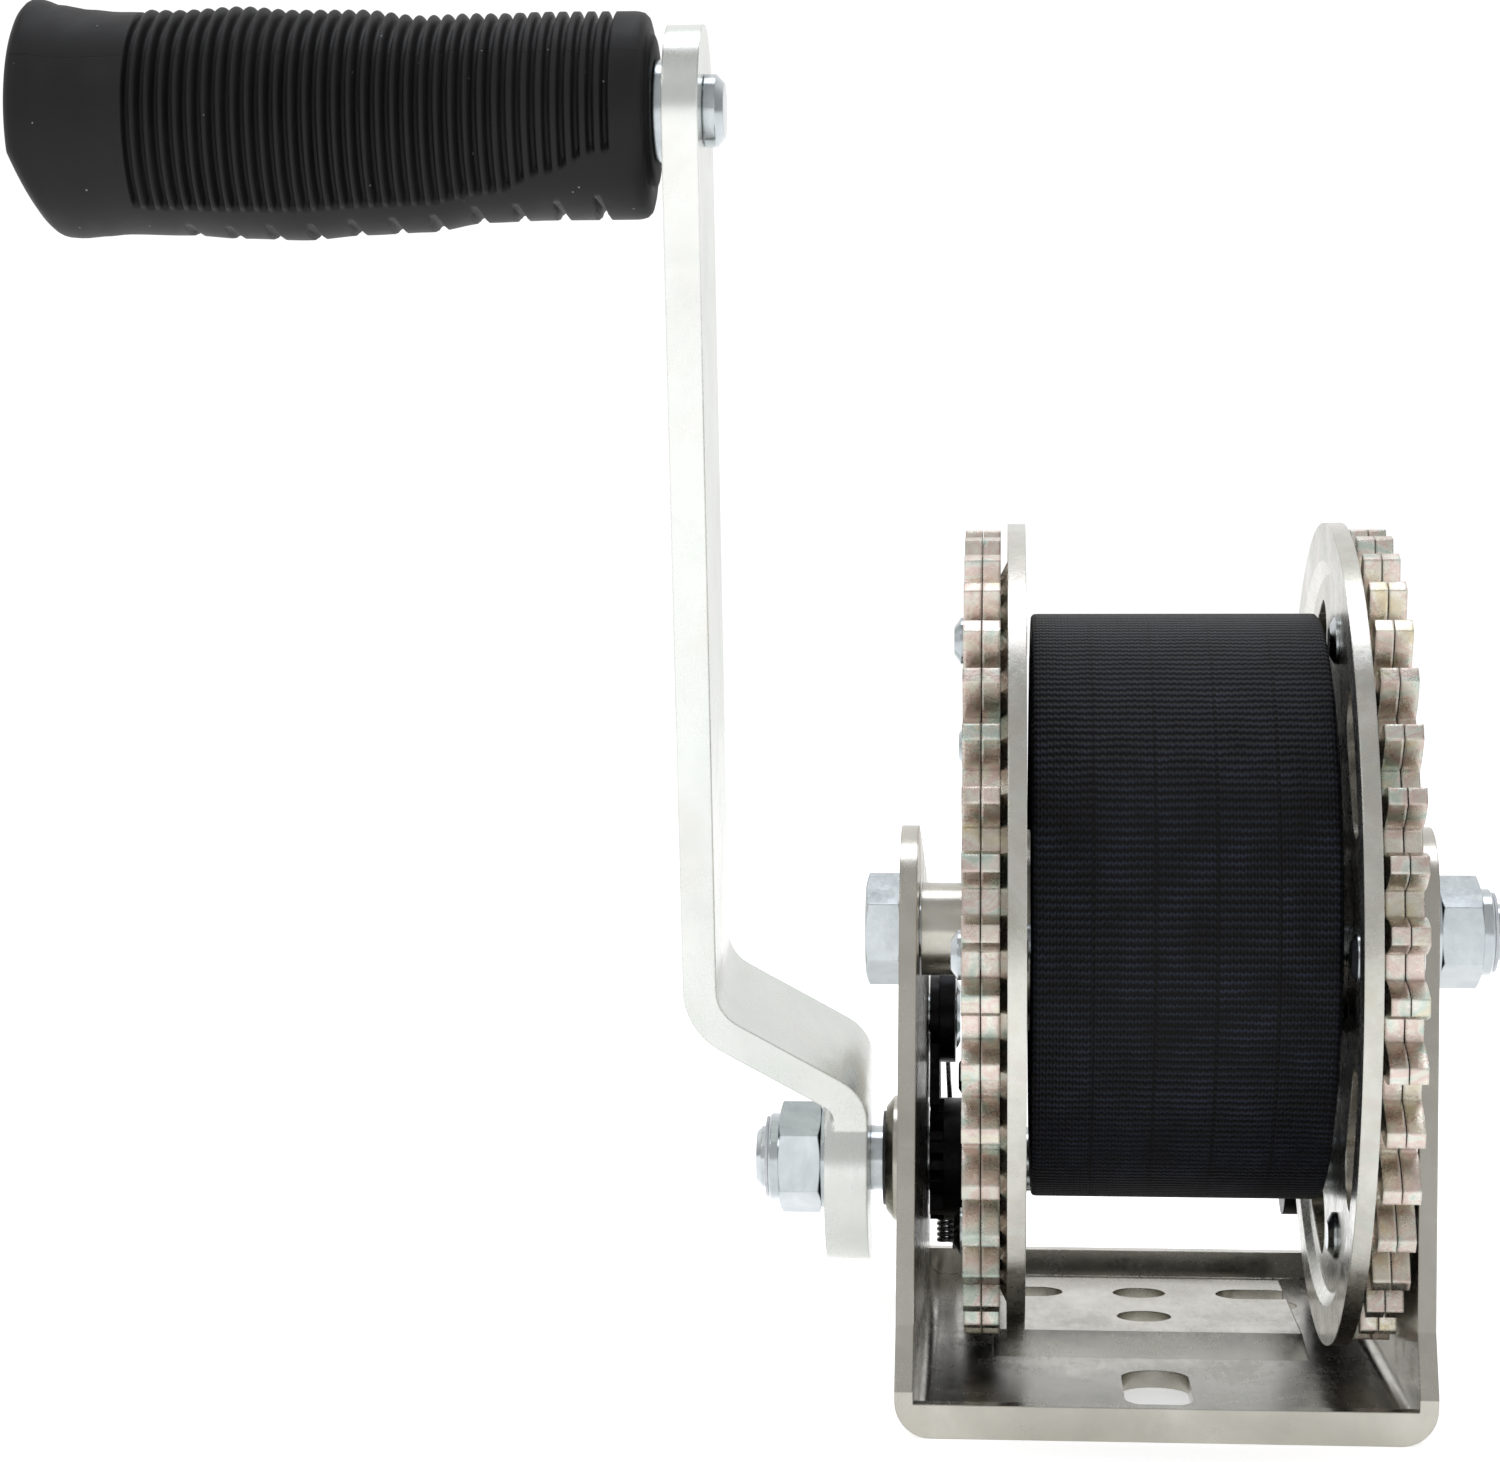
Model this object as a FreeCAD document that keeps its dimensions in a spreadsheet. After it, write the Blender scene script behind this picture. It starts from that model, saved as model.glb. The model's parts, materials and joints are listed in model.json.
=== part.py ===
"""Boat trailer winch: a strap drum with a gear on each side, in a folded sheet frame, turned by a crank.

Millimetres. +X runs along the drum axle, away from the crank, +Y to the rear and +Z up. The origin is on the
underside of the base, midway between the walls and straight below the drum axle.
"""
import FreeCAD, Part
import math
import os
import re
import Sketcher
from FreeCAD import Placement, Rotation, Vector

# The driving sizes, in millimetres and degrees. Each becomes a cell of the sheet.
SIZES = {
    # Folded frame
    "sheet_thick": 3.0,
    "ratchet_space": 8.0,
    "gear_side_gap": 1.4,
    "wall_lean": 2.2,
    "bend_radius": 3.0,
    "base_front": 47.0,
    "rear_margin": 17.628,
    "front_lip": 5.5,
    "rear_lip": 8.2,
    "wall_foot": 7.5,
    "wall_flare": 7.0,
    "wall_waist": 17.0,
    "wall_front_top": 19.0,
    "wall_above_axle": 21.8,
    "wall_slope": 12.4,
    "peak_round": 18.0,
    "shoulder_round": 14.0,
    "platform_rise": 2.0,
    "platform_half": 27.7,
    "platform_front": 4.0,
    "platform_ramp": 14.0,
    "platform_rear": 74.0,
    # Fixing holes in the base
    "slot_spacing": 44.6,
    "slot_long": 15.4,
    "slot_wide": 9.5,
    "rear_row": 55.0,
    "middle_row": 32.0,
    "round_hole": 10.0,
    "front_slot_wide": 11.5,
    "front_slot_near": 34.0,
    "front_slot_far": 6.0,
    # Drum
    "base_gap": 5.0,
    "strap_wide": 50.0,
    "strap_radius": 51.0,
    "strap_lift": 3.0,
    "strap_side_gap": 0.7,
    "flange_thick": 3.0,
    "flange_overhang": 1.13,
    "flange_rim": 7.7,
    "dish_depth": 1.2,
    "core_radius": 17.5,
    "core_wall": 3.0,
    "hub_wall": 3.07,
    "hub_end_gap": 0.3,
    "strap_pin_radius": 3.0,
    "strap_pin_circle": 24.0,
    "window_inset": 1.0,
    "window_long": 27.0,
    "window_wide": 12.5,
    # Gears
    "gear_module": 3.4,
    "gear_teeth": 40,
    "pinion_teeth": 10,
    "pressure_angle": 20.0,
    "profile_shift": 0.45,
    "flank_relief": 0.07,
    "gear_plate": 2.9,
    "plate_seam": 0.2,
    "gear_phase": 176.1,
    "rivet_count": 5,
    "rivet_inset": 9.22,
    "rivet_shank": 3.0,
    "rivet_head": 4.0,
    "rivet_strap_gap": 0.4,
    "rivet_head_left": 1.8,
    "rivet_head_right": 1.0,
    # Axle bolt and its nut
    "bolt_radius": 5.0,
    "bolt_hex": 17.0,
    "bolt_head": 6.4,
    "bolt_beyond": 1.5,
    "bolt_washer_radius": 10.0,
    "washer_thick": 2.0,
    "bolt_nut_tall": 7.4,
    "nut_collar": 2.6,
    "nut_chamfer": 0.4,
    "collar_inset": 0.6,
    "collar_round": 1.0,
    "insert_radius": 1.9,
    "insert_thick": 2.2,
    # Pinion shaft, its bushes and the ratchet
    "pinion_base_gap": 3.57,
    "shaft_radius": 6.3,
    "stud_radius": 6.0,
    "running_gap": 0.08,
    "pinion_wide": 6.8,
    "pinion_side_gap": 0.1,
    "pinion_boss": 10.1,
    "pinion_boss_long": 5.2,
    "bush_wall": 2.62,
    "bush_flange": 12.2,
    "bush_boss": 5.2,
    "bush_round_long": 1.5,
    "bush_round_in": 2.0,
    "bush_boss_right": 3.0,
    "dust_ring_radius": 9.2,
    "dust_ring_thick": 0.6,
    "ratchet_teeth": 10,
    "ratchet_tip": 11.9,
    "ratchet_tooth": 2.6,
    "ratchet_side": 0.4,
    "ratchet_gap": 0.35,
    "clip_radius": 9.0,
    "clip_thick": 1.2,
    "shaft_tail": 3.4,
    # Pawl
    "pawl_rise": 28.5,
    "pawl_plate": 1.9,
    "pawl_hub": 9.5,
    "pawl_hub_long": 3.0,
    "pawl_bite": 2.4,
    "pawl_spread": 25.5,
    "pawl_ear_back": 12.4,
    "pawl_ear_drop": 6.0,
    "pawl_ear": 3.0,
    "pawl_ear_hole": 1.4,
    "toe_root": 3.6,
    "toe_half": 2.4,
    "pivot_radius": 4.0,
    "pivot_head": 7.0,
    "pivot_head_tall": 2.0,
    "pivot_end_gap": 0.2,
    "pivot_end_tall": 1.0,
    "spring_wire": 0.5,
    "spring_radius": 1.6,
    "spring_turns": 6,
    "spring_foot": 1.2,
    "spring_behind": 2.8,
    "spring_open": 1.08,
    # Crank
    "crank_long": 205.2,
    "crank_turn": 18.0,
    "crank_wide": 30.0,
    "crank_bar": 6.4,
    "crank_paddle": 19.8,
    "paddle_boss": 1.9,
    "crank_bush_gap": 2.5,
    "crank_low_bend": 20.5,
    "crank_high_bend": 37.2,
    "crank_offset": 28.3,
    "crank_lean": -0.4,
    "low_bend_inside": 3.5,
    "high_bend_inside": 8.0,
    "stud_beyond": 1.9,
    "crank_hex": 19.0,
    "crank_nut_tall": 8.4,
    "crank_washer_radius": 10.0,
    "crank_washer_thick": 1.2,
    "stud_chamfer": 1.0,
    "clip_gap": 0.3,
    # Grip
    "grip_pin_radius": 5.0,
    "grip_pin_head": 6.4,
    "grip_pin_head_tall": 3.6,
    "grip_washer_radius": 9.0,
    "grip_stand_off": 2.37,
    "grip_washer_gap": 0.3,
    "grip_long": 113.3,
    "grip_drop": 0.4,
    "grip_flare": 21.8,
    "grip_middle": 20.4,
    "grip_neck": 18.4,
    "grip_swell": 0.3,
    "grip_mouth_round": 2.0,
    "grip_neck_long": 16.0,
    "grip_waist_start": 0.32,
    "grip_waist_end": 0.7,
    "grip_flare_start": 0.84,
    "grip_flare_long": 9.0,
    "grip_end_round": 3.0,
    "grip_end_inset": 4.0,
    "grip_end_wall": 5.0,
    "grip_pin_room": 3.0,
    "grip_pin_stand": 0.2,
    "retainer_thick": 1.0,
    "retainer_rim": 1.5,
    "sleeve_wall": 2.0,
    "sleeve_gap": 0.3,
    # Shares of a domed head: how wide it is at its top, and where its side stops
    "rivet_top": 0.6,
    "rivet_side": 0.4,
    "pivot_top": 0.7,
    "pivot_inner_top": 0.8,
    "pin_top": 0.75,
    "pin_side": 0.6,
    # How far a cutting shape runs past what it cuts
    "spare": 5.0,
}

doc = FreeCAD.newDocument("boat_trailer_winch")
sheet = doc.addObject("Spreadsheet::Sheet", "Sizes")
for row, (alias, value) in enumerate(SIZES.items(), start=1):
    sheet.set(f"A{row}", alias)
    sheet.set(f"B{row}", str(value))
    sheet.setAlias(f"B{row}", alias)
doc.recompute()


def named(expression):
    """Point each size in an expression at its cell of the sheet."""
    return re.sub(r"[a-z_]+", lambda word: "Sizes." + word[0] if word[0] in CELLS else word[0], expression)


def value_of(expression):
    """The number that an expression of sizes comes to."""
    return float(sheet.evalExpression(named(expression)))


def bind(piece, **expressions):
    """Tie properties of a piece to sizes."""
    for name, expression in expressions.items():
        piece.setExpression(name, named(expression))


def move_to(piece, x, y, z):
    """Tie where a piece stands to sizes."""
    for axis, expression in zip("xyz", (x, y, z)):
        piece.setExpression(f"Placement.Base.{axis}", named(expression))


def turn_about(piece, angle, axis):
    """Tie how far a piece is turned about a line along X to a size."""
    back, height = axis
    piece.Placement = FreeCAD.Placement(Vector(), FreeCAD.Rotation(Vector(1, 0, 0), value_of(angle)))
    piece.setExpression("Placement.Rotation.Angle", named(angle))
    move_to(piece, "0", f"{back} * (1 - cos({angle})) + {height} * sin({angle})",
            f"{height} * (1 - cos({angle})) - {back} * sin({angle})")


# Places that several pieces share, each worked out in the sheet from the sizes above it.
PLACES = {
    "gear_tip": "gear_module * (gear_teeth / 2 + 1 - profile_shift)",
    "gear_root": "gear_module * (gear_teeth / 2 - 1.25 - profile_shift)",
    "pinion_tip": "gear_module * (pinion_teeth / 2 + 1 + profile_shift)",
    "flange_radius": "gear_tip + flange_overhang",
    "dish_radius": "flange_radius - flange_rim",
    "rivet_circle": "gear_root - rivet_inset",
    "window_circle": "rivet_circle - window_inset",
    "axle_height": "flange_radius + sheet_thick + base_gap",
    "pinion_height": "pinion_tip + sheet_thick + pinion_base_gap",
    "gear_centres": "gear_module * (gear_teeth + pinion_teeth) / 2",
    "pinion_back": "sqrt(gear_centres^2 - (axle_height - pinion_height)^2)",
    "pawl_height": "pinion_height + pawl_rise",
    "base_rear": "pinion_back + rear_margin",
    "wall_peak": "axle_height + wall_above_axle",
    "rim_in": "strap_wide / 2 + strap_side_gap",
    "dish_in": "rim_in + dish_depth",
    "gear_in": "dish_in + flange_thick",
    "gear_out": "gear_in + 2 * gear_plate + plate_seam",
    "rivet_head_inner": "strap_side_gap + dish_depth - rivet_strap_gap",
    "drum_shift": "(ratchet_space - gear_side_gap) / 2",
    "wall_in": "drum_shift + gear_out + gear_side_gap",
    "wall_out": "wall_in + sheet_thick",
    "bend_top": "sheet_thick + bend_radius",
    "crank_inner_face": "wall_out + bush_boss + dust_ring_thick + crank_bush_gap",
    "crank_out": "crank_inner_face + crank_bar",
    "crank_foot": "pinion_height - crank_paddle",
    "crank_top": "pinion_height + crank_long",
    "crank_head": "crank_top + crank_wide / 2",
    "crank_high_in": "crank_inner_face + crank_offset",
    "crank_pin_in": "crank_high_in + (crank_long - crank_high_bend) * tan(crank_lean)",
    "crank_pin_out": "crank_pin_in + crank_bar / cos(crank_lean)",
    "crank_head_in": "crank_high_in + (crank_head - pinion_height - crank_high_bend) * tan(crank_lean)",
    "crank_head_out": "crank_head_in + crank_bar / cos(crank_lean)",
    "grip_inner_end": "crank_head_out + grip_stand_off",
    "grip_end": "grip_inner_end + grip_long",
    "grip_pin_end": "grip_end - grip_end_wall - grip_pin_room",
    "grip_back": "pinion_back - crank_long * sin(crank_turn)",
    "grip_height": "pinion_height + crank_long * cos(crank_turn)",
    "sleeve_bore": "grip_pin_radius + running_gap",
    "sleeve_outer": "sleeve_bore + sleeve_wall",
    "crank_seat": "crank_out + paddle_boss + crank_washer_thick",
    "stud_end": "crank_seat + crank_nut_tall + nut_collar + stud_beyond",
    "bolt_seat": "wall_out + (axle_height + bolt_washer_radius - bend_top) * tan(wall_lean)",
    "bolt_nut_seat": "bolt_seat + washer_thick",
    "bolt_end": "bolt_nut_seat + bolt_nut_tall + nut_collar + bolt_beyond",
    "bush_seat": "wall_out + (pinion_height + bush_flange - bend_top) * tan(wall_lean)",
    "hub_bore": "bolt_radius + running_gap",
    "hub_radius": "hub_bore + hub_wall",
    "bush_bore": "shaft_radius + running_gap",
    "bush_radius": "bush_bore + bush_wall",
    "shaft_end": "bush_seat + bush_boss_right",
    "ratchet_face": "wall_in - ratchet_gap",
    "ratchet_root": "ratchet_tip - ratchet_tooth",
    "ratchet_tooth_wide": "pawl_plate + 2 * ratchet_side",
    "pawl_reach": "pawl_rise - ratchet_tip + pawl_bite",
    "pawl_hub_end": "ratchet_face - pawl_plate - pawl_hub_long",
    "ear_back": "pinion_back + pawl_ear_back",
    "ear_height": "pawl_height - pawl_ear_drop",
    "left_pinion_face": "gear_in - drum_shift + pinion_side_gap",
    "right_pinion_face": "gear_in + drum_shift + pinion_side_gap",
}
for row, (alias, expression) in enumerate(PLACES.items(), start=len(SIZES) + 1):
    sheet.set(f"A{row}", alias)
    sheet.set(f"B{row}", "=" + expression)
    sheet.setAlias(f"B{row}", alias)
doc.recompute()
CELLS = {**SIZES, **PLACES}
DRUM_AXIS = ("0", "axle_height")
PINION_AXIS = ("pinion_back", "pinion_height")
PAWL_AXIS = ("pinion_back", "pawl_height")
UPRIGHT_GRIP_AXIS = ("pinion_back", "crank_top")
GRIP_AXIS = ("grip_back", "grip_height")
# How far a drill runs past each face
PAST = 1


def right_wall_out(height):
    """Outside of the leaning right wall at a height."""
    return f"(wall_out + ({height} - bend_top) * tan(wall_lean))"


def right_wall_in(height):
    """Inside of the leaning right wall at a height."""
    return f"(wall_in + ({height} - bend_top) * tan(wall_lean))"


# ---- Tools for sketches and solids ----

def plane_of(body, role):
    """One of a body's own origin planes."""
    return next(plane for plane in body.Origin.OriginFeatures if plane.Role == role)


def sketch_on(body, role, name, lift="0"):
    """A sketch on a body's origin plane, raised off it by lift."""
    sketch = body.newObject("Sketcher::SketchObject", name)
    sketch.AttachmentSupport = (plane_of(body, role), "")
    sketch.MapMode = "FlatFace"
    sketch.setExpression("AttachmentOffset.Base.z", named(lift))
    return sketch


def fix_point(sketch, curve, end, x, y):
    """Hold one point of a sketch at sizes from its origin."""
    for kind, expression in (("DistanceX", x), ("DistanceY", y)):
        number = sketch.addConstraint(Sketcher.Constraint(kind, -1, 1, curve, end, value_of(expression)))
        sketch.setExpression(f"Constraints[{number}]", named(expression))


def closed_outline(sketch, corners):
    """Straight lines round a list of corners, each corner held at its sizes."""
    points = [Vector(value_of(x), value_of(y), 0) for x, y in corners]
    first = sketch.GeometryCount
    for start, end in zip(points, points[1:] + points[:1]):
        sketch.addGeometry(Part.LineSegment(start, end), False)
    last = sketch.GeometryCount - 1
    for curve in range(first, last + 1):
        following = curve + 1 if curve < last else first
        sketch.addConstraint(Sketcher.Constraint("Coincident", curve, 2, following, 1))
    for curve, (x, y) in zip(range(first, last + 1), corners):
        fix_point(sketch, curve, 1, x, y)


def round_hole(sketch, x, y, radius):
    """A circle held at its centre and radius."""
    centre = Vector(value_of(x), value_of(y), 0)
    circle = sketch.addGeometry(Part.Circle(centre, Vector(0, 0, 1), value_of(radius)), False)
    fix_point(sketch, circle, 3, x, y)
    number = sketch.addConstraint(Sketcher.Constraint("Radius", circle, value_of(radius)))
    sketch.setExpression(f"Constraints[{number}]", named(radius))


def round_slot(sketch, x, y, long, wide, angle):
    """A slot with round ends, centred on a point and lying along X (0 degrees) or Y (90 degrees)."""
    half = f"({long} - {wide}) / 2"
    step = (f"{half}", "0") if angle == 0 else ("0", f"{half}")
    first = (f"{x} - {step[0]}", f"{y} - {step[1]}")
    second = (f"{x} + {step[0]}", f"{y} + {step[1]}")
    radius = value_of(f"{wide} / 2")
    turn = math.radians(angle)
    side = Vector(-math.sin(turn), math.cos(turn), 0) * radius
    near = Vector(value_of(first[0]), value_of(first[1]), 0)
    far = Vector(value_of(second[0]), value_of(second[1]), 0)
    up = Vector(0, 0, 1)
    near_end = Part.ArcOfCircle(Part.Circle(near, up, radius), turn + math.pi / 2, turn + 3 * math.pi / 2)
    far_end = Part.ArcOfCircle(Part.Circle(far, up, radius), turn - math.pi / 2, turn + math.pi / 2)
    arc_a = sketch.addGeometry(near_end, False)
    low = sketch.addGeometry(Part.LineSegment(near - side, far - side), False)
    arc_b = sketch.addGeometry(far_end, False)
    high = sketch.addGeometry(Part.LineSegment(far + side, near + side), False)
    for one, other in ((arc_a, low), (low, arc_b), (arc_b, high), (high, arc_a)):
        sketch.addConstraint(Sketcher.Constraint("Tangent", one, 2, other, 1))
    sketch.addConstraint(Sketcher.Constraint("Equal", arc_a, arc_b))
    fix_point(sketch, arc_a, 3, *first)
    fix_point(sketch, arc_b, 3, *second)
    number = sketch.addConstraint(Sketcher.Constraint("Radius", arc_a, radius))
    sketch.setExpression(f"Constraints[{number}]", named(f"{wide} / 2"))


def feature(body, kind, name, sketch, **expressions):
    """A PartDesign feature made from a sketch, its sizes tied to the sheet."""
    made = body.newObject(f"PartDesign::{kind}", name)
    made.Profile = sketch
    bind(made, **expressions)
    return made


def cut_through(body, name, sketch):
    """A pocket through the whole body, both ways from its sketch."""
    pocket = body.newObject("PartDesign::Pocket", name)
    pocket.Profile = sketch
    pocket.Midplane = True
    pocket.Length = 1000
    before = body.Shape.Volume
    doc.recompute()
    assert pocket.Shape.Volume < before - 0.01, name + " cuts nothing"
    return pocket


def dress(body, kind, name, picks, **expressions):
    """Round or chamfer the edges whose middle point passes a test."""
    doc.recompute()
    base = body.Tip
    edges = [f"Edge{number}" for number, edge in enumerate(base.Shape.Edges, start=1)
             if picks(edge.CenterOfMass, edge)]
    made = body.newObject(f"PartDesign::{kind}", name)
    made.Base = (base, edges)
    bind(made, **expressions)
    doc.recompute()
    return made


def turned(label, corners, axis):
    """A piece turned about an axis along X: corners are pairs of place along X and radius."""
    body = doc.addObject("PartDesign::Body", label)
    sketch = sketch_on(body, "XY_Plane", label + "_profile")
    closed_outline(sketch, corners)
    turn = feature(body, "Revolution", label + "_turn", sketch)
    turn.ReferenceAxis = (sketch, ["H_Axis"])
    turn.Angle = 360
    move_to(body, "0", *axis)
    return body


def ring(label, start, end, inner, outer, axis):
    """A plain turned ring or tube."""
    return turned(label, [(start, inner), (end, inner), (end, outer), (start, outer)], axis)


def rod(label, start, long, radius, axis):
    """A Part cylinder along X."""
    cylinder = doc.addObject("Part::Cylinder", label)
    cylinder.Placement = Placement(Vector(), Rotation(Vector(0, 1, 0), 90))
    bind(cylinder, Radius=radius, Height=long)
    move_to(cylinder, start, *axis)
    return cylinder


def joined(label, pieces):
    """Several solids fused into one."""
    union = doc.addObject("Part::MultiFuse", label)
    union.Shapes = pieces
    return union


def less(label, solid, tool):
    """A solid with a tool cut out of it."""
    cut = doc.addObject("Part::Cut", label)
    cut.Base = solid
    cut.Tool = tool
    return cut


def shared(label, first, second):
    """What two solids have in common."""
    both = doc.addObject("Part::Common", label)
    both.Base = first
    both.Tool = second
    return both


def plain_solid(label, shape):
    """A piece whose shape is worked out here from the sizes."""
    piece = doc.addObject("Part::Feature", label)
    piece.Shape = shape
    piece.Placement = Placement()
    return piece


def around(centre, radius, degrees, x=0.0):
    """A point at a radius and angle about an axis along X, from +Y towards +Z."""
    angle = math.radians(degrees)
    return Vector(x, centre[0] + radius * math.cos(angle), centre[1] + radius * math.sin(angle))


# ---- Frame ----

def frame():
    """One folded sheet: base with raised middle and turned-up ends, and two walls."""
    body = doc.addObject("PartDesign::Body", "frame")
    section = sketch_on(body, "XZ_Plane", "channel_section", "-base_rear")
    top = "wall_peak"
    closed_outline(section, [
        ("-wall_out", top), ("-wall_out", "0"), ("wall_out", "0"), ("wall_out", "bend_top"),
        (right_wall_out(top), top), (right_wall_in(top), top),
        ("wall_in", "bend_top"), ("wall_in", "sheet_thick"),
        ("-wall_in", "sheet_thick"), ("-wall_in", top)])
    feature(body, "Pad", "channel", section, Length="base_front + base_rear")
    along = lambda edge: abs(edge.Curve.Direction.y) > 0.99
    at_out = value_of("wall_out")
    at_in = value_of("wall_in")
    dress(body, "Fillet", "bend_outside",
          lambda p, e: along(e) and p.z < 0.01 and abs(abs(p.x) - at_out) < 0.01,
          Radius="bend_radius + sheet_thick * 0.98")
    dress(body, "Fillet", "bend_inside",
          lambda p, e: e.Curve.TypeId.endswith("Line") and along(e) and abs(p.z - value_of("sheet_thick")) < 0.01
          and abs(abs(p.x) - at_in) < 0.01,
          Radius="bend_radius * 0.98")

    # The outline of both walls, seen from the side, with a margin round it that is cut away.
    outline = sketch_on(body, "YZ_Plane", "wall_outline")
    closed_outline(outline, [
        ("-base_front - 30", "-30"), ("base_rear + 30", "-30"),
        ("base_rear + 30", "wall_peak + 30"), ("-base_front - 30", "wall_peak + 30")])
    shoulder = "wall_peak - (base_rear + wall_front_top) * tan(wall_slope)"
    closed_outline(outline, [
        ("-base_front", "-10"), ("base_rear", "-10"), ("base_rear", shoulder),
        ("-wall_front_top", "wall_peak"),
        ("-base_front + wall_flare", "wall_waist"), ("-base_front", "wall_foot")])
    cut_through(body, "wall_cut", outline)
    across = lambda edge: edge.Curve.TypeId.endswith("Line") and abs(edge.Curve.Direction.x) > 0.99
    dress(body, "Fillet", "wall_peak_round",
          lambda p, e: across(e) and abs(p.y + value_of("wall_front_top")) < 0.1 and p.z > value_of("axle_height"),
          Radius="peak_round")
    dress(body, "Fillet", "wall_shoulder_round",
          lambda p, e: across(e) and abs(p.y - value_of("base_rear")) < 0.1 and abs(p.z - value_of(shoulder)) < 0.1,
          Radius="shoulder_round")

    # Turned-up ends of the base, and its raised middle.
    for name, near, far, height in (("front", "-base_front", "-base_front + sheet_thick", "front_lip"),
                                    ("rear", "base_rear - sheet_thick", "base_rear", "rear_lip")):
        lip = sketch_on(body, "YZ_Plane", name + "_lip_section", "-wall_in")
        closed_outline(lip, [(near, "sheet_thick / 2"), (far, "sheet_thick / 2"),
                             (far, height), (near, height)])
        feature(body, "Pad", name + "_lip_pad", lip, Length="2 * wall_in")
    for name, kind, foot in (("platform", "Pad", "sheet_thick"), ("hollow", "Pocket", "0")):
        step = sketch_on(body, "YZ_Plane", name + "_section", "-platform_half")
        raised = f"{foot} + platform_rise"
        closed_outline(step, [("platform_front", foot), ("platform_rear", foot),
                              ("platform_rear - 2 * platform_rise", raised),
                              ("platform_front + platform_ramp", raised)])
        doc.recompute()
        before = body.Shape.Volume
        made = feature(body, kind, name + "_step", step, Length="2 * platform_half")
        made.Reversed = kind == "Pocket"
        doc.recompute()
        assert abs(body.Shape.Volume - before) > 100, name + " has no effect"

    # Fixing holes through the base, and the shaft and rivet holes through the walls.
    holes = sketch_on(body, "XY_Plane", "fixing_holes")
    for row in ("rear_row", "middle_row"):
        round_hole(holes, "0", row, "round_hole / 2")
    for side in ("-", ""):
        round_slot(holes, f"{side}slot_spacing / 2", "rear_row", "slot_long", "slot_wide", 0)
    round_slot(holes, "0", "-(front_slot_near + front_slot_far) / 2", "(front_slot_near - front_slot_far)",
               "front_slot_wide", 90)
    cut_through(body, "fixing_hole_cut", holes)
    bores = sketch_on(body, "YZ_Plane", "wall_bores")
    round_hole(bores, *DRUM_AXIS, "bolt_radius")
    round_hole(bores, *PINION_AXIS, "bush_radius")
    cut_through(body, "wall_bore_cut", bores)
    pivot = sketch_on(body, "YZ_Plane", "pivot_bore")
    round_hole(pivot, *PAWL_AXIS, "pivot_radius")
    cut = feature(body, "Pocket", "pivot_bore_cut", pivot, Length="2 * wall_in")
    doc.recompute()
    reach = cut.Shape.BoundBox.XMin
    assert abs(reach + value_of("wall_out")) < 0.01, "the frame has moved"
    return body


# ---- Axle bolt, nuts and the fixed turned pieces ----

def nut(label, start, out, across_flats, tall, collar, bore, axis):
    """A locking nut from start along +X (out 1) or -X (out -1): a hexagon, a round collar and a bore."""
    sign = "-" if out < 0 else "+"
    corner = f"{across_flats} / 2 / cos(30)"
    flat = f"{across_flats} / 2 - nut_chamfer"
    drop = f"({corner} - {flat}) * tan(30)"
    top = f"{start} {sign} {tall}"
    hexagon = doc.addObject("Part::Prism", label + "_hexagon")
    hexagon.Polygon = 6
    hexagon.Placement = Placement(Vector(), Rotation(Vector(0, 1, 0), 90 * out))
    bind(hexagon, Circumradius=corner, Height=tall)
    move_to(hexagon, start, *axis)
    limit = turned(label + "_limit", [
        (start, "0"), (start, flat), (f"{start} {sign} {drop}", corner),
        (f"{top} {'+' if out < 0 else '-'} {drop}", corner), (top, flat), (top, "0")], axis)
    body = shared(label + "_faceted", hexagon, limit)
    if collar == "0":
        return body
    below = f"{start} {sign} ({tall} - collar_round)"
    round_start = f"{start} {sign} ({tall} + {collar} - collar_round)"
    end = f"{start} {sign} ({tall} + {collar})"
    wide = f"{flat} - collar_inset"
    cap = turned(label + "_cap", [
        (below, "0"), (below, wide), (round_start, wide),
        (end, f"{wide} - 1.2 * collar_round"), (end, "0")], axis)
    solid = joined(label + "_solid", [body, cap])
    length = f"{tall} + {collar} + 2 * spare"
    back = f"{start} - spare" if out > 0 else f"{start} + spare - ({length})"
    mouth = f"{end} - insert_thick" if out > 0 else end
    thread = rod(label + "_thread", back, length, bore, axis)
    seat = rod(label + "_insert_seat", mouth, "insert_thick", f"{bore} + insert_radius", axis)
    return less(label, solid, joined(label + "_bore", [thread, seat]))


def drum_bolt():
    """Hexagon bolt that carries the drum, its head against the left wall."""
    head = nut("bolt_head_piece", "-wall_out", -1, "bolt_hex", "bolt_head", "0", "0", DRUM_AXIS)
    shank = rod("bolt_shank", "-wall_out", "wall_out + bolt_end", "bolt_radius", DRUM_AXIS)
    return joined("drum_bolt", [head, shank])


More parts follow.
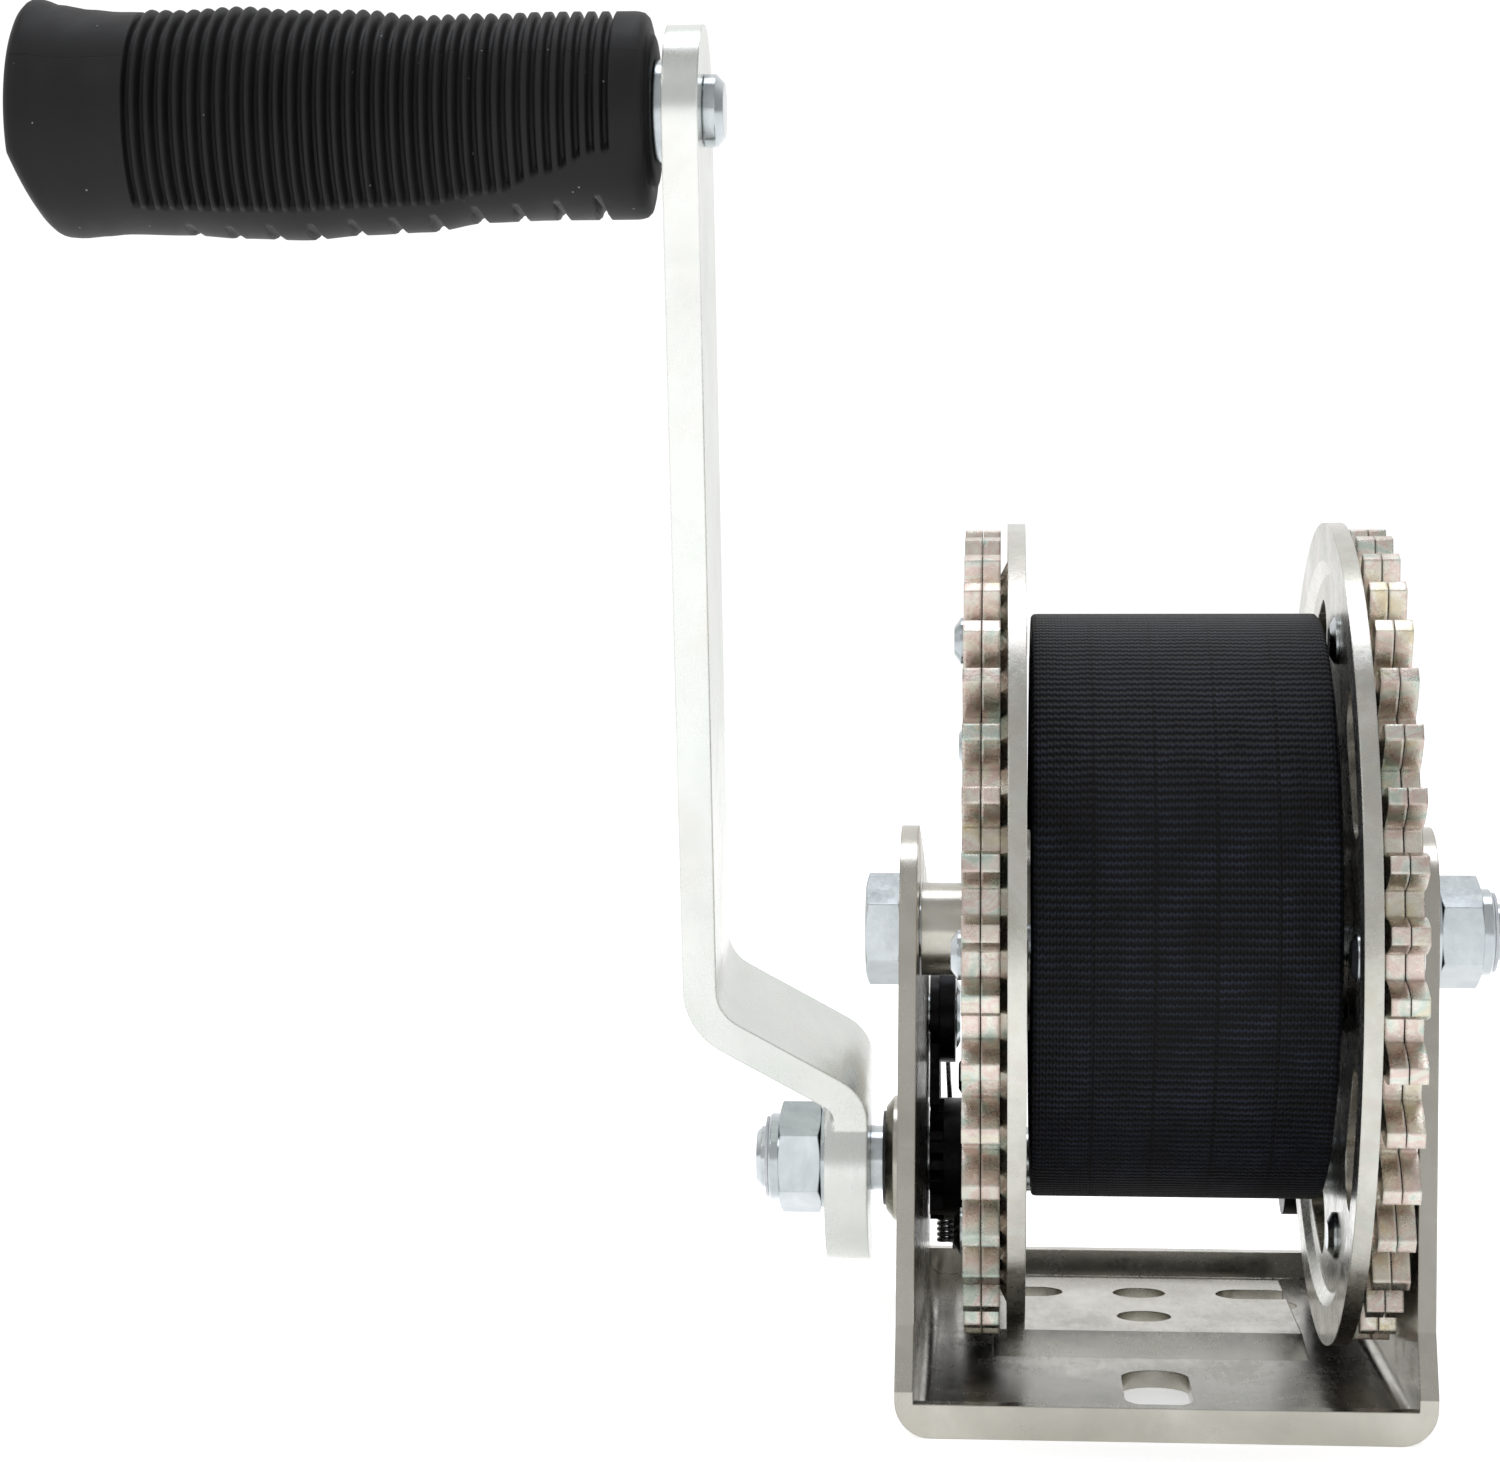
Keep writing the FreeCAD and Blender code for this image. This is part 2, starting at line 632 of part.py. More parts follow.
def crank_arm():
    """Flat bar bent twice, with a round paddle on the shaft and a round end at the grip."""
    body = doc.addObject("PartDesign::Body", "crank_bar_bent")
    sketch = sketch_on(body, "XZ_Plane", "crank_profile", "-(pinion_back + crank_paddle)")
    inner = [("-crank_inner_face", "crank_foot"), ("-crank_inner_face", "pinion_height + crank_low_bend"),
             ("-crank_high_in", "pinion_height + crank_high_bend"), ("-crank_head_in", "crank_head")]
    points = [Vector(value_of(x), value_of(z), 0) for x, z in inner]
    thick = value_of("crank_bar")
    sides = [Vector(-(b - a).y, (b - a).x, 0).normalize() for a, b in zip(points, points[1:])]
    outer = [points[0] + sides[0] * thick]
    for point, before, after in zip(points[1:], sides, sides[1:]):
        outer.append(point + (before + after) * (thick / (1 + before.dot(after))))
    outer.append(points[-1] + sides[-1] * thick)
    chain = points + outer[::-1]
    for start, end in zip(chain, chain[1:] + chain[:1]):
        sketch.addGeometry(Part.LineSegment(start, end), False)
    sides_of_outline = len(chain)
    for curve in range(sides_of_outline):
        sketch.addConstraint(Sketcher.Constraint("Coincident", curve, 2, (curve + 1) % sides_of_outline, 1))
    for curve, (x, z) in enumerate(inner):
        fix_point(sketch, curve, 1, x, z)
    for one, other in ((0, 6), (1, 5), (2, 4)):
        sketch.addConstraint(Sketcher.Constraint("Parallel", one, other))
        number = sketch.addConstraint(Sketcher.Constraint("Distance", one, 1, other, thick))
        sketch.setExpression(f"Constraints[{number}]", named("crank_bar"))
    sketch.addConstraint(Sketcher.Constraint("Perpendicular", 2, 3))
    sketch.addConstraint(Sketcher.Constraint("Perpendicular", 6, 7))
    feature(body, "Pad", "crank_bar_pad", sketch, Length="2 * crank_paddle")
    for name, corner, radius in (
            ("low_outer", points[1], "low_bend_inside + crank_bar"),
            ("low_inner", outer[1], "low_bend_inside"),
            ("high_inner", points[2], "high_bend_inside"),
            ("high_outer", outer[2], "high_bend_inside + crank_bar")):
        dress(body, "Fillet", "crank_" + name,
              lambda p, e, c=corner: abs(p.x - c.x) < 0.1 and abs(p.z - c.y) < 0.1, Radius=radius)
    reach = "-(crank_head_in + 2 * crank_bar)"
    deep = "crank_head_in + 2 * crank_bar - crank_inner_face + spare"
    blade = doc.addObject("Part::Box", "crank_blade")
    bind(blade, Length=deep, Width="crank_wide", Height="crank_long")
    move_to(blade, reach, "pinion_back - crank_wide / 2", "pinion_height")
    silhouette = joined("crank_outline", [
        blade, rod("crank_paddle_round", reach, deep, "crank_paddle", PINION_AXIS),
        rod("crank_head_round", reach, deep, "crank_wide / 2", UPRIGHT_GRIP_AXIS)])
    bar = joined("crank_blank", [
        shared("crank_flat_bar", body, silhouette),
        rod("crank_boss", "-(crank_out + paddle_boss)", "paddle_boss + crank_bar / 2", "crank_paddle",
            PINION_AXIS)])
    bores = joined("crank_bores", [
        rod("crank_shaft_bore", reach, deep, "stud_radius", PINION_AXIS),
        rod("crank_grip_bore", reach, deep, "grip_pin_radius", UPRIGHT_GRIP_AXIS)])
    arm = less("crank_arm", bar, bores)
    turn_about(arm, "crank_turn", PINION_AXIS)
    return arm


# ---- Gears ----

# Half the width of a ratchet tooth at its tip and at its root, as shares of the tooth pitch.
TIP_SHARE = 0.13
ROOT_SHARE = 0.34


def involute(angle):
    """Involute function of a pressure angle in radians."""
    return math.tan(angle) - angle


def gear_outline(teeth, shift, phase, centre, x):
    """Closed wire of an involute gear, one tooth centred on the phase angle, in the plane at x."""
    module = value_of("gear_module")
    pressure = math.radians(value_of("pressure_angle"))
    pitch = module * teeth / 2
    base = pitch * math.cos(pressure)
    tip = pitch + module * (1 + shift)
    root = pitch - module * (1.25 - shift)
    thick = module * (math.pi / 2 + 2 * shift * math.tan(pressure)) - 2 * value_of("flank_relief")
    start = max(root, base)

    def half_angle(radius):
        return thick / (2 * pitch) + involute(pressure) - involute(math.acos(min(1.0, base / radius)))

    steps = [start + (tip - start) * (k / 6) ** 1.5 for k in range(7)]
    edges = []
    pitch_angle = 360 / teeth
    for tooth in range(int(teeth)):
        middle = phase + tooth * pitch_angle
        low, high = ([around(centre, r, middle + side * math.degrees(half_angle(r)), x) for r in steps]
                     for side in (-1, 1))
        foot = math.degrees(half_angle(start))
        low_root = around(centre, root, middle - foot, x)
        high_root = around(centre, root, middle + foot, x)
        next_root = around(centre, root, middle + pitch_angle - foot, x)
        for root_point, flank in ((low_root, low), (high_root, high)):
            curve = Part.BSplineCurve()
            curve.interpolate(flank)
            if root < base:
                edges.append(Part.makeLine(root_point, flank[0]))
            edges.append(curve.toShape())
        edges.append(Part.Arc(low[-1], around(centre, tip, middle, x), high[-1]).toShape())
        valley = around(centre, root, middle + pitch_angle / 2, x)
        edges.append(Part.Arc(high_root, valley, next_root).toShape())
    return Part.Wire(Part.__sortEdges__(edges))


def disc(centre, radius, start, long):
    """A round solid along X, for the shapes worked out here."""
    return Part.makeCylinder(radius, long, Vector(start, *centre), Vector(1, 0, 0))


def prism_of(points, thick):
    """A flat-sided solid from a closed outline, thickened along X."""
    return Part.Face(Part.makePolygon(points + points[:1])).extrude(Vector(thick, 0, 0))


def gear_slab(teeth, shift, phase, centre, start, wide, bore):
    """A toothed disc with a round bore."""
    face = Part.Face(gear_outline(teeth, shift, phase, centre, start))
    slab = face.extrude(Vector(wide, 0, 0))
    return slab.cut(disc(centre, bore, start - 1, wide + 2))


def gear_plate(label, start):
    """One of the two stamped plates of a drum gear, with its rivet holes."""
    centre = (0, value_of("axle_height"))
    wide = value_of("gear_plate")
    slab = gear_slab(value_of("gear_teeth"), -value_of("profile_shift"), value_of("gear_phase"), centre,
                     start, wide, value_of("hub_radius"))
    count = int(value_of("rivet_count"))
    for number in range(count):
        middle = around(centre, value_of("rivet_circle"), 180 + 360 / count * number)
        slab = slab.cut(disc((middle.y, middle.z), value_of("rivet_shank"), start - 1, wide + 2))
    return plain_solid(label, slab)


def pinion_phase():
    """Angle of a pinion tooth that meshes with the drum gear as it stands."""
    back = value_of("pinion_back")
    drop = value_of("pinion_height - axle_height")
    line = math.degrees(math.atan2(drop, back))
    gear_pitch = 360 / value_of("gear_teeth")
    offset = (value_of("gear_phase") - line) % gear_pitch
    ratio = value_of("gear_teeth") / value_of("pinion_teeth")
    return line + 180 - ratio * offset + 180 / value_of("pinion_teeth")


def pinion(label, face_start, boss_start):
    """Ten-tooth pinion with a round boss on its inner side."""
    centre = (value_of("pinion_back"), value_of("pinion_height"))
    bore = value_of("shaft_radius")
    slab = gear_slab(value_of("pinion_teeth"), value_of("profile_shift"), pinion_phase(), centre,
                     value_of(face_start), value_of("pinion_wide"), bore)
    long = value_of("pinion_boss_long")
    boss = disc(centre, value_of("pinion_boss"), value_of(boss_start), long)
    boss = boss.cut(disc(centre, bore, value_of(boss_start) - PAST, long + 2 * PAST))
    return plain_solid(label, slab.fuse(boss).removeSplitter())


def ratchet_wheel():
    """Ratchet wheel with a hub that reaches the left pinion."""
    centre = (value_of("pinion_back"), value_of("pinion_height"))
    start = -value_of("ratchet_face")
    teeth = int(value_of("ratchet_teeth"))
    wide = value_of("ratchet_tooth_wide")
    tip = value_of("ratchet_tip")
    root = value_of("ratchet_root")
    pitch = 360 / teeth
    points = []
    for tooth in range(teeth):
        middle = 90 + tooth * pitch
        for radius, share in ((root, -ROOT_SHARE), (tip, -TIP_SHARE), (tip, TIP_SHARE), (root, ROOT_SHARE)):
            points.append(around(centre, radius, middle + share * pitch, start))
    hub_end = -value_of("left_pinion_face + pinion_wide")
    hub = disc(centre, tip, start + wide, hub_end - start - wide)
    solid = prism_of(points, wide).fuse(hub)
    bore = disc(centre, value_of("shaft_radius"), start - PAST, hub_end - start + 2 * PAST)
    return plain_solid("ratchet_wheel", solid.cut(bore).removeSplitter())


# ---- Pawl and its spring ----

def pawl():
    """Two-toed pawl plate with a thick hub and an ear for the spring."""
    pivot = (value_of("pinion_back"), value_of("pawl_height"))
    ear = (value_of("ear_back"), value_of("ear_height"))
    start = -value_of("ratchet_face")
    thick = value_of("pawl_plate")
    reach = value_of("pawl_reach")
    toe_root = value_of("toe_root")
    toe_turn = value_of("toe_half")
    ear_radius = value_of("pawl_ear")
    hub_radius = value_of("pawl_hub")
    hub_long = value_of("pawl_hub_long")
    plate = disc(pivot, hub_radius - thick, start, thick)
    for side in (-1, 1):
        down = -90 + side * value_of("pawl_spread")
        plate = plate.fuse(prism_of([
            around(pivot, toe_root, down - 90, start), around(pivot, reach, down - toe_turn, start),
            around(pivot, reach, down + toe_turn, start), around(pivot, toe_root, down + 90, start)], thick))
    slope = math.degrees(math.atan2(ear[1] - pivot[1], ear[0] - pivot[0]))
    plate = plate.fuse(disc(ear, ear_radius, start, thick))
    plate = plate.fuse(prism_of([
        around(pivot, ear_radius, slope - 90, start), around(ear, ear_radius, slope - 90, start),
        around(ear, ear_radius, slope + 90, start), around(pivot, ear_radius, slope + 90, start)], thick))
    solid = plate.fuse(disc(pivot, hub_radius, start + thick, hub_long))
    hub_bore = value_of("pivot_radius + running_gap")
    solid = solid.cut(disc(pivot, hub_bore, start - PAST, thick + hub_long + 2 * PAST))
    solid = solid.cut(disc(ear, value_of("pawl_ear_hole"), start - PAST, thick + 2 * PAST))
    return plain_solid("pawl", solid.removeSplitter())


def pawl_spring():
    """Tension spring: a short coil standing behind the ratchet, with a leg hooked into the pawl's ear."""
    wire = value_of("spring_wire")
    radius = value_of("spring_radius")
    pitch = 2 * wire * value_of("spring_open")
    tall = value_of("spring_turns") * pitch
    ear = Vector(-value_of("ratchet_face"), value_of("ear_back"), value_of("ear_height"))
    middle = Vector(ear.x + value_of("pawl_plate") + radius - wire,
                    value_of("pinion_back + ratchet_tip + spring_behind"), value_of("rear_lip + spring_foot"))
    start_ring = Part.Wire([Part.makeCircle(wire, Vector(radius, 0, 0), Vector(0, 1, 0))])
    spring = Part.Wire(Part.makeHelix(pitch, tall, radius).Edges).makePipeShell([start_ring], True, True)
    spring.translate(middle)
    top = middle + Vector(radius, 0, tall)
    bend = Vector(middle.x, ear.y, ear.z)
    hook = Vector(ear.x - 0.2 * wire, ear.y, ear.z)
    foot = middle + Vector(radius, 0, 0)
    anchor = Vector(foot.x, foot.y, value_of("rear_lip"))
    for start, end in ((top, bend), (bend, hook), (foot, anchor)):
        spring = spring.fuse(Part.makeCylinder(wire, (end - start).Length, start, end - start))
    for joint in (top, bend):
        spring = spring.fuse(Part.makeSphere(wire, joint))
    return plain_solid("pawl_spring", spring)


# ---- Flanges, core and strap ----

def flange(label, side):
    """Dished strap flange with windows and rivet holes; side is -1 for the left one and +1 for the right."""
    sign = "-" if side < 0 else "+"
    rim_in = f"drum_shift {sign} rim_in"
    rim_out = f"drum_shift {sign} (rim_in + flange_thick)"
    dish_in = f"drum_shift {sign} dish_in"
    dish_out = f"drum_shift {sign} gear_in"
    body = turned(label, [
        (dish_in, "hub_radius"), (dish_in, "dish_radius - dish_depth"), (rim_in, "dish_radius + dish_depth"),
        (rim_in, "flange_radius"), (rim_out, "flange_radius"), (rim_out, "dish_radius + dish_depth"),
        (dish_out, "dish_radius - dish_depth"), (dish_out, "hub_radius")], DRUM_AXIS)
    doc.recompute()
    count = int(value_of("rivet_count"))
    holes = sketch_on(body, "YZ_Plane", label + "_rivet_holes")
    for number in range(count):
        angle = 180 + 360 / count * number
        round_hole(holes, f"rivet_circle * cos({angle:g})", f"rivet_circle * sin({angle:g})", "rivet_shank")
    cut_through(body, label + "_rivet_cut", holes)
    window = sketch_on(body, "YZ_Plane", label + "_window")
    round_slot(window, "window_circle", "0", "window_long", "window_wide", 90)
    pocket = cut_through(body, label + "_window_cut", window)
    ring_of = body.newObject("PartDesign::PolarPattern", label + "_windows")
    ring_of.Originals = [pocket]
    ring_of.Axis = (window, ["N_Axis"])
    ring_of.Angle = 360
    bind(ring_of, Occurrences="rivet_count")
    body.Tip = ring_of
    doc.recompute()
    return body


def rivet(label, side, number):
    """A rivet through a flange and its gear, domed at both ends."""
    sign = "-" if side < 0 else "+"
    outer_head = "rivet_head_left" if side < 0 else "rivet_head_right"
    angle = 180 + 360 / value_of("rivet_count") * number
    inside = f"drum_shift {sign} dish_in"
    outside = f"drum_shift {sign} gear_out"
    opposite = "+" if side < 0 else "-"
    corners = [
        (f"{inside} {opposite} rivet_head_inner", "0"),
        (f"{inside} {opposite} rivet_head_inner", "rivet_head * rivet_top"),
        (f"{inside} {opposite} rivet_head_inner * rivet_side", "rivet_head"), (inside, "rivet_head"),
        (inside, "rivet_shank"), (outside, "rivet_shank"), (outside, "rivet_head"),
        (f"{outside} {sign} {outer_head} * rivet_side", "rivet_head"),
        (f"{outside} {sign} {outer_head}", "rivet_head * rivet_top"),
        (f"{outside} {sign} {outer_head}", "0")]
    axis = (f"rivet_circle * cos({angle:g})", f"axle_height + rivet_circle * sin({angle:g})")
    return turned(label, corners, axis)


def strap_roll():
    """The wound strap as one plain ring, lying a little high on its core."""
    side = "drum_shift - strap_wide / 2"
    roll = rod("strap_outside", side, "strap_wide", "strap_radius", ("0", "axle_height + strap_lift"))
    pin_axis = ("-strap_pin_circle", "axle_height")
    holes = joined("strap_holes", [rod("strap_core_hole", side, "strap_wide", "core_radius", DRUM_AXIS),
                                   rod("strap_pin_hole", side, "strap_wide", "strap_pin_radius", pin_axis)])
    return less("strap_roll", roll, holes)


# ---- Grip ----

def grip():
    """Moulded rubber grip, hollow for its sleeve and closed at the outer end."""
    shape = turned("grip_outside", [
        ("-grip_inner_end", "0"), ("-grip_inner_end", "grip_neck - grip_mouth_round"),
        ("-(grip_inner_end + grip_mouth_round)", "grip_neck"),
        ("-(grip_inner_end + grip_neck_long)", "grip_neck + grip_swell"),
        ("-(grip_inner_end + grip_waist_start * grip_long)", "grip_middle - grip_swell"),
        ("-(grip_inner_end + grip_waist_end * grip_long)", "grip_middle"),
        ("-(grip_inner_end + grip_flare_start * grip_long)", "grip_middle + grip_swell"),
        ("-(grip_end - grip_flare_long)", "grip_flare"),
        ("-(grip_end - grip_end_round)", "grip_flare - grip_swell"),
        ("-grip_end", "grip_flare - grip_end_inset"), ("-grip_end", "0")],
        ("grip_back", "grip_height - grip_drop"))
    hollow = rod("grip_hollow", "-(grip_end - grip_end_wall)", "grip_long - grip_end_wall",
                 "sleeve_outer", GRIP_AXIS)
    return less("grip", shape, hollow)


# ---- Assembly ----

pieces = [
    frame(),
    drum_bolt(),
    ring("drum_washer", "bolt_seat", "bolt_nut_seat", "bolt_radius", "bolt_washer_radius", DRUM_AXIS),
    nut("drum_nut", "bolt_nut_seat", 1, "bolt_hex", "bolt_nut_tall", "nut_collar", "bolt_radius", DRUM_AXIS),
    ring("drum_nut_insert", "bolt_end - bolt_beyond - insert_thick", "bolt_end - bolt_beyond", "bolt_radius",
         "bolt_radius + insert_radius", DRUM_AXIS),
    turned("left_bush", [
        ("-wall_in", "bush_bore"), ("-wall_in", "bush_radius"),
        ("-wall_out", "bush_radius"), ("-wall_out", "bush_flange"),
        ("-(wall_out + bush_boss - bush_round_long)", "bush_flange"),
        ("-(wall_out + bush_boss)", "bush_flange - bush_round_in"),
        ("-(wall_out + bush_boss)", "bush_bore")], PINION_AXIS),
    turned("right_bush", [
        (right_wall_in("pinion_height"), "bush_bore"), (right_wall_in("pinion_height"), "bush_radius"),
        ("bush_seat", "bush_radius"), ("bush_seat", "bush_flange"),
        ("shaft_end", "bush_flange"), ("shaft_end", "bush_bore")], PINION_AXIS),
    ring("dust_ring", "-(wall_out + bush_boss + dust_ring_thick)", "-(wall_out + bush_boss)",
         "bush_bore", "dust_ring_radius", PINION_AXIS),
    turned("pawl_rivet", [
        ("-(wall_out + pivot_head_tall)", "0"),
        ("-(wall_out + pivot_head_tall)", "pivot_head * pivot_top"),
        ("-(wall_out + pivot_head_tall * rivet_side)", "pivot_head"), ("-wall_out", "pivot_head"),
        ("-wall_out", "pivot_radius"),
        ("-pawl_hub_end + pivot_end_gap", "pivot_radius"),
        ("-pawl_hub_end + pivot_end_gap", "pivot_head"),
        ("-pawl_hub_end + pivot_end_tall", "pivot_head * pivot_inner_top"),
        ("-pawl_hub_end + pivot_end_tall", "0")], PAWL_AXIS),
    pawl(),
    pawl_spring(),
    ring("hub_tube", "-wall_in + hub_end_gap", f"{right_wall_in('(axle_height - hub_radius)')} - hub_end_gap",
         "hub_bore", "hub_radius", DRUM_AXIS),
    ring("drum_core", "drum_shift - dish_in", "drum_shift + dish_in", "core_radius - core_wall",
         "core_radius", DRUM_AXIS),
    rod("strap_pin", "drum_shift - dish_in", "2 * dish_in", "strap_pin_radius",
        ("-strap_pin_circle", "axle_height")),
    flange("left_flange", -1),
    flange("right_flange", 1),
    gear_plate("left_gear_inner", value_of("drum_shift - gear_in - gear_plate")),
    gear_plate("left_gear_outer", value_of("drum_shift - gear_in - 2 * gear_plate - plate_seam")),
    gear_plate("right_gear_inner", value_of("drum_shift + gear_in")),
    gear_plate("right_gear_outer", value_of("drum_shift + gear_in + gear_plate + plate_seam")),
    strap_roll(),
    turned("pinion_shaft", [
        ("-stud_end", "0"), ("-stud_end", "stud_radius - stud_chamfer"),
        ("-(stud_end - stud_chamfer)", "stud_radius"),
        ("-crank_inner_face", "stud_radius"), ("-crank_inner_face", "shaft_radius"),
        ("shaft_end + shaft_tail", "shaft_radius"), ("shaft_end + shaft_tail", "0")], PINION_AXIS),
    pinion("left_pinion", "-(left_pinion_face + pinion_wide)", "-left_pinion_face"),
    pinion("right_pinion", "right_pinion_face", "right_pinion_face - pinion_boss_long"),
    ratchet_wheel(),
    ring("shaft_clip", "shaft_end + clip_gap", "shaft_end + clip_gap + clip_thick", "shaft_radius",
         "clip_radius", PINION_AXIS),
    crank_arm(),
    ring("crank_nut_insert", "-(crank_seat + crank_nut_tall + nut_collar)",
         "-(crank_seat + crank_nut_tall + nut_collar - insert_thick)", "stud_radius",
         "stud_radius + insert_radius", PINION_AXIS),
    ring("crank_washer", "-crank_seat", "-(crank_out + paddle_boss)", "stud_radius",
         "crank_washer_radius", PINION_AXIS),
    nut("crank_nut", "-crank_seat", -1, "crank_hex", "crank_nut_tall", "nut_collar", "stud_radius",
        PINION_AXIS),
    turned("grip_pin", [
        ("-crank_pin_in + grip_pin_head_tall", "0"),
        ("-crank_pin_in + grip_pin_head_tall", "grip_pin_head * pin_top"),
        ("-crank_pin_in + grip_pin_head_tall * pin_side", "grip_pin_head"),
        ("-crank_pin_in + grip_pin_stand", "grip_pin_head"),
        ("-crank_pin_in + grip_pin_stand", "grip_pin_radius"),
        ("-grip_pin_end", "grip_pin_radius"), ("-grip_pin_end", "0")], GRIP_AXIS),
    ring("grip_washer", "-(grip_inner_end - grip_washer_gap)", "-(crank_pin_out + grip_washer_gap)",
         "grip_pin_radius", "grip_washer_radius", GRIP_AXIS),
    ring("pin_retainer", "-grip_pin_end", "-(grip_pin_end - retainer_thick)", "grip_pin_radius",
         "grip_pin_radius + retainer_rim", GRIP_AXIS),
    ring("grip_sleeve", "-(grip_pin_end - retainer_thick - sleeve_gap)", "-grip_inner_end", "sleeve_bore",
         "sleeve_outer", GRIP_AXIS),
    grip(),
]
for side, word in ((-1, "left"), (1, "right")):
    for number in range(int(value_of("rivet_count"))):
        pieces.append(rivet(f"{word}_rivet_{number + 1}", side, number))

doc.recompute()
for thing in doc.Objects:
    assert not {"Invalid", "Error"} & set(thing.State), f"{thing.Label} failed: {thing.State}"
for piece in pieces:
    assert not piece.Shape.isNull() and piece.Shape.isValid(), piece.Label + " has no valid shape"
    assert len(piece.Shape.Solids) == 1, f"{piece.Label} has {len(piece.Shape.Solids)} solids"

os.makedirs("parts", exist_ok=True)
for piece in pieces:
    piece.Shape.exportStep(f"parts/{piece.Label}.step")
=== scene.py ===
"""Looks for the boat trailer winch: plated steel, moulded rubber and woven strap, in metres."""
import bpy
import json
import math
from mathutils import Euler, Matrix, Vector


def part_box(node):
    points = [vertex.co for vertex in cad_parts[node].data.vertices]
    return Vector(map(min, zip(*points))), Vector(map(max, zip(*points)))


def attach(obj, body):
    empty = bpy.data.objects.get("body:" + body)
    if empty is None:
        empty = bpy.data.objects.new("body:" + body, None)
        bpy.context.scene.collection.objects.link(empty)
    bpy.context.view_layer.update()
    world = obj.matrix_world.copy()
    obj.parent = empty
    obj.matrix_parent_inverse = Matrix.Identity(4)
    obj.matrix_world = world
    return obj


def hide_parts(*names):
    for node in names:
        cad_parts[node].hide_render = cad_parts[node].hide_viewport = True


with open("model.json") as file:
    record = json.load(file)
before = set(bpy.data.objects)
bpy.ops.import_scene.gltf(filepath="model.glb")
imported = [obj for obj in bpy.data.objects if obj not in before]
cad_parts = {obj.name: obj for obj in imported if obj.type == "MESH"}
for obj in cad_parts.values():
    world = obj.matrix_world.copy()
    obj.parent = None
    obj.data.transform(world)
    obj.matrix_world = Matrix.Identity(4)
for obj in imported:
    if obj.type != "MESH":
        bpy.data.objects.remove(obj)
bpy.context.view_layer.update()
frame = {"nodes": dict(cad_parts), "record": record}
MM = 0.001
scene = bpy.context.scene


# ---- Colour and node tools ----

def linear(hex_colour):
    """An sRGB hex colour as linear RGBA."""
    parts = [int(hex_colour[i:i + 2], 16) / 255 for i in (1, 3, 5)]
    return [p / 12.92 if p <= 0.04045 else ((p + 0.055) / 1.055) ** 2.4 for p in parts] + [1.0]


def add(tree, kind, inputs=None, stops=None, **settings):
    """Add one shader node, with its settings, its input values or links, and a ramp's stops."""
    made = tree.nodes.new("ShaderNode" + kind)
    for name, value in settings.items():
        setattr(made, name, value)
    for key, value in (inputs or {}).items():
        if isinstance(value, bpy.types.NodeSocket):
            tree.links.new(value, made.inputs[key])
        else:
            made.inputs[key].default_value = value
    for number, (place, colour) in enumerate(stops or []):
        elements = made.color_ramp.elements
        stop = elements[number] if number < 2 else elements.new(place)
        stop.position = place
        stop.color = linear(colour) if isinstance(colour, str) else (colour, colour, colour, 1.0)
    return made


def new_finish(name, **plain):
    """A material with a Principled shader, and the numbers that are the same all over its surface."""
    material = bpy.data.materials.new(name)
    material.use_nodes = True
    tree = material.node_tree
    shader = tree.nodes["Principled BSDF"]
    for key, value in plain.items():
        shader.inputs[key.replace("_", " ")].default_value = value
    return material, tree, shader


def local_mm(tree, stretch=(1, 1, 1)):
    """The piece's own coordinates in millimetres, squeezed along each axis by stretch."""
    own = add(tree, "TexCoord")
    return add(tree, "VectorMath", {0: own.outputs["Object"], 1: [1 / MM / s for s in stretch]},
               operation="MULTIPLY").outputs[0]


def noise(tree, where, size, detail=4.0, rough=0.55, twist=0.0):
    """Soft noise whose blobs are about size millimetres across."""
    return add(tree, "TexNoise", {"Vector": where, "Scale": 1 / size, "Detail": detail,
                                  "Roughness": rough, "Distortion": twist}).outputs["Fac"]


def between(tree, amount, low, high):
    """A number that runs from low to high as amount runs from 0.3 to 0.7, where noise mostly lies."""
    return add(tree, "MapRange", {"Value": amount, "From Min": 0.3, "From Max": 0.7,
                                  "To Min": low, "To Max": high}).outputs[0]


def sums(tree, kind, *values):
    """One sum on numbers or links."""
    return add(tree, "Math", dict(enumerate(values)), operation=kind).outputs[0]


# ---- Finishes ----

EDGE_ROUND = 0.35  # how far sheared and machined edges are softened, mm


def plated_steel(name, cloud, cloud_size, gloss, grain, grain_size, grain_lift, tint=None, lines=(1, 1, 1),
                 edge=EDGE_ROUND):
    """Electroplated zinc on steel: bright metal, clouded where the plating took, with a fine matt grain."""
    material, tree, shader = new_finish(name, Metallic=1.0)
    where = local_mm(tree)
    drawn = local_mm(tree, lines)
    clouds = noise(tree, where, cloud_size, 5.0, 0.6, 0.6)
    colour = add(tree, "ValToRGB", {"Fac": clouds}, stops=cloud).outputs["Color"]
    if tint:
        film = noise(tree, where, tint["size"], 3.0, 0.5, 1.6)
        sheen = add(tree, "ValToRGB", {"Fac": film}, stops=tint["stops"]).outputs["Color"]
        colour = add(tree, "Mix", {"Factor": tint["share"], "A": colour, "B": sheen},
                     data_type="RGBA", blend_type="MULTIPLY").outputs["Result"]
    tree.links.new(colour, shader.inputs["Base Color"])
    fine = noise(tree, drawn, grain_size, 6.0, 0.65)
    wide = noise(tree, where, cloud_size * 0.4, 3.0)
    rough = sums(tree, "ADD", between(tree, wide, *gloss), between(tree, fine, -grain, grain))
    tree.links.new(rough, shader.inputs["Roughness"])
    softened = add(tree, "Bevel", {"Radius": edge * MM}, samples=4).outputs[0]
    bump = add(tree, "Bump", {"Height": fine, "Strength": 0.35, "Distance": grain_lift * MM,
                              "Normal": softened})
    tree.links.new(bump.outputs[0], shader.inputs["Normal"])
    return material


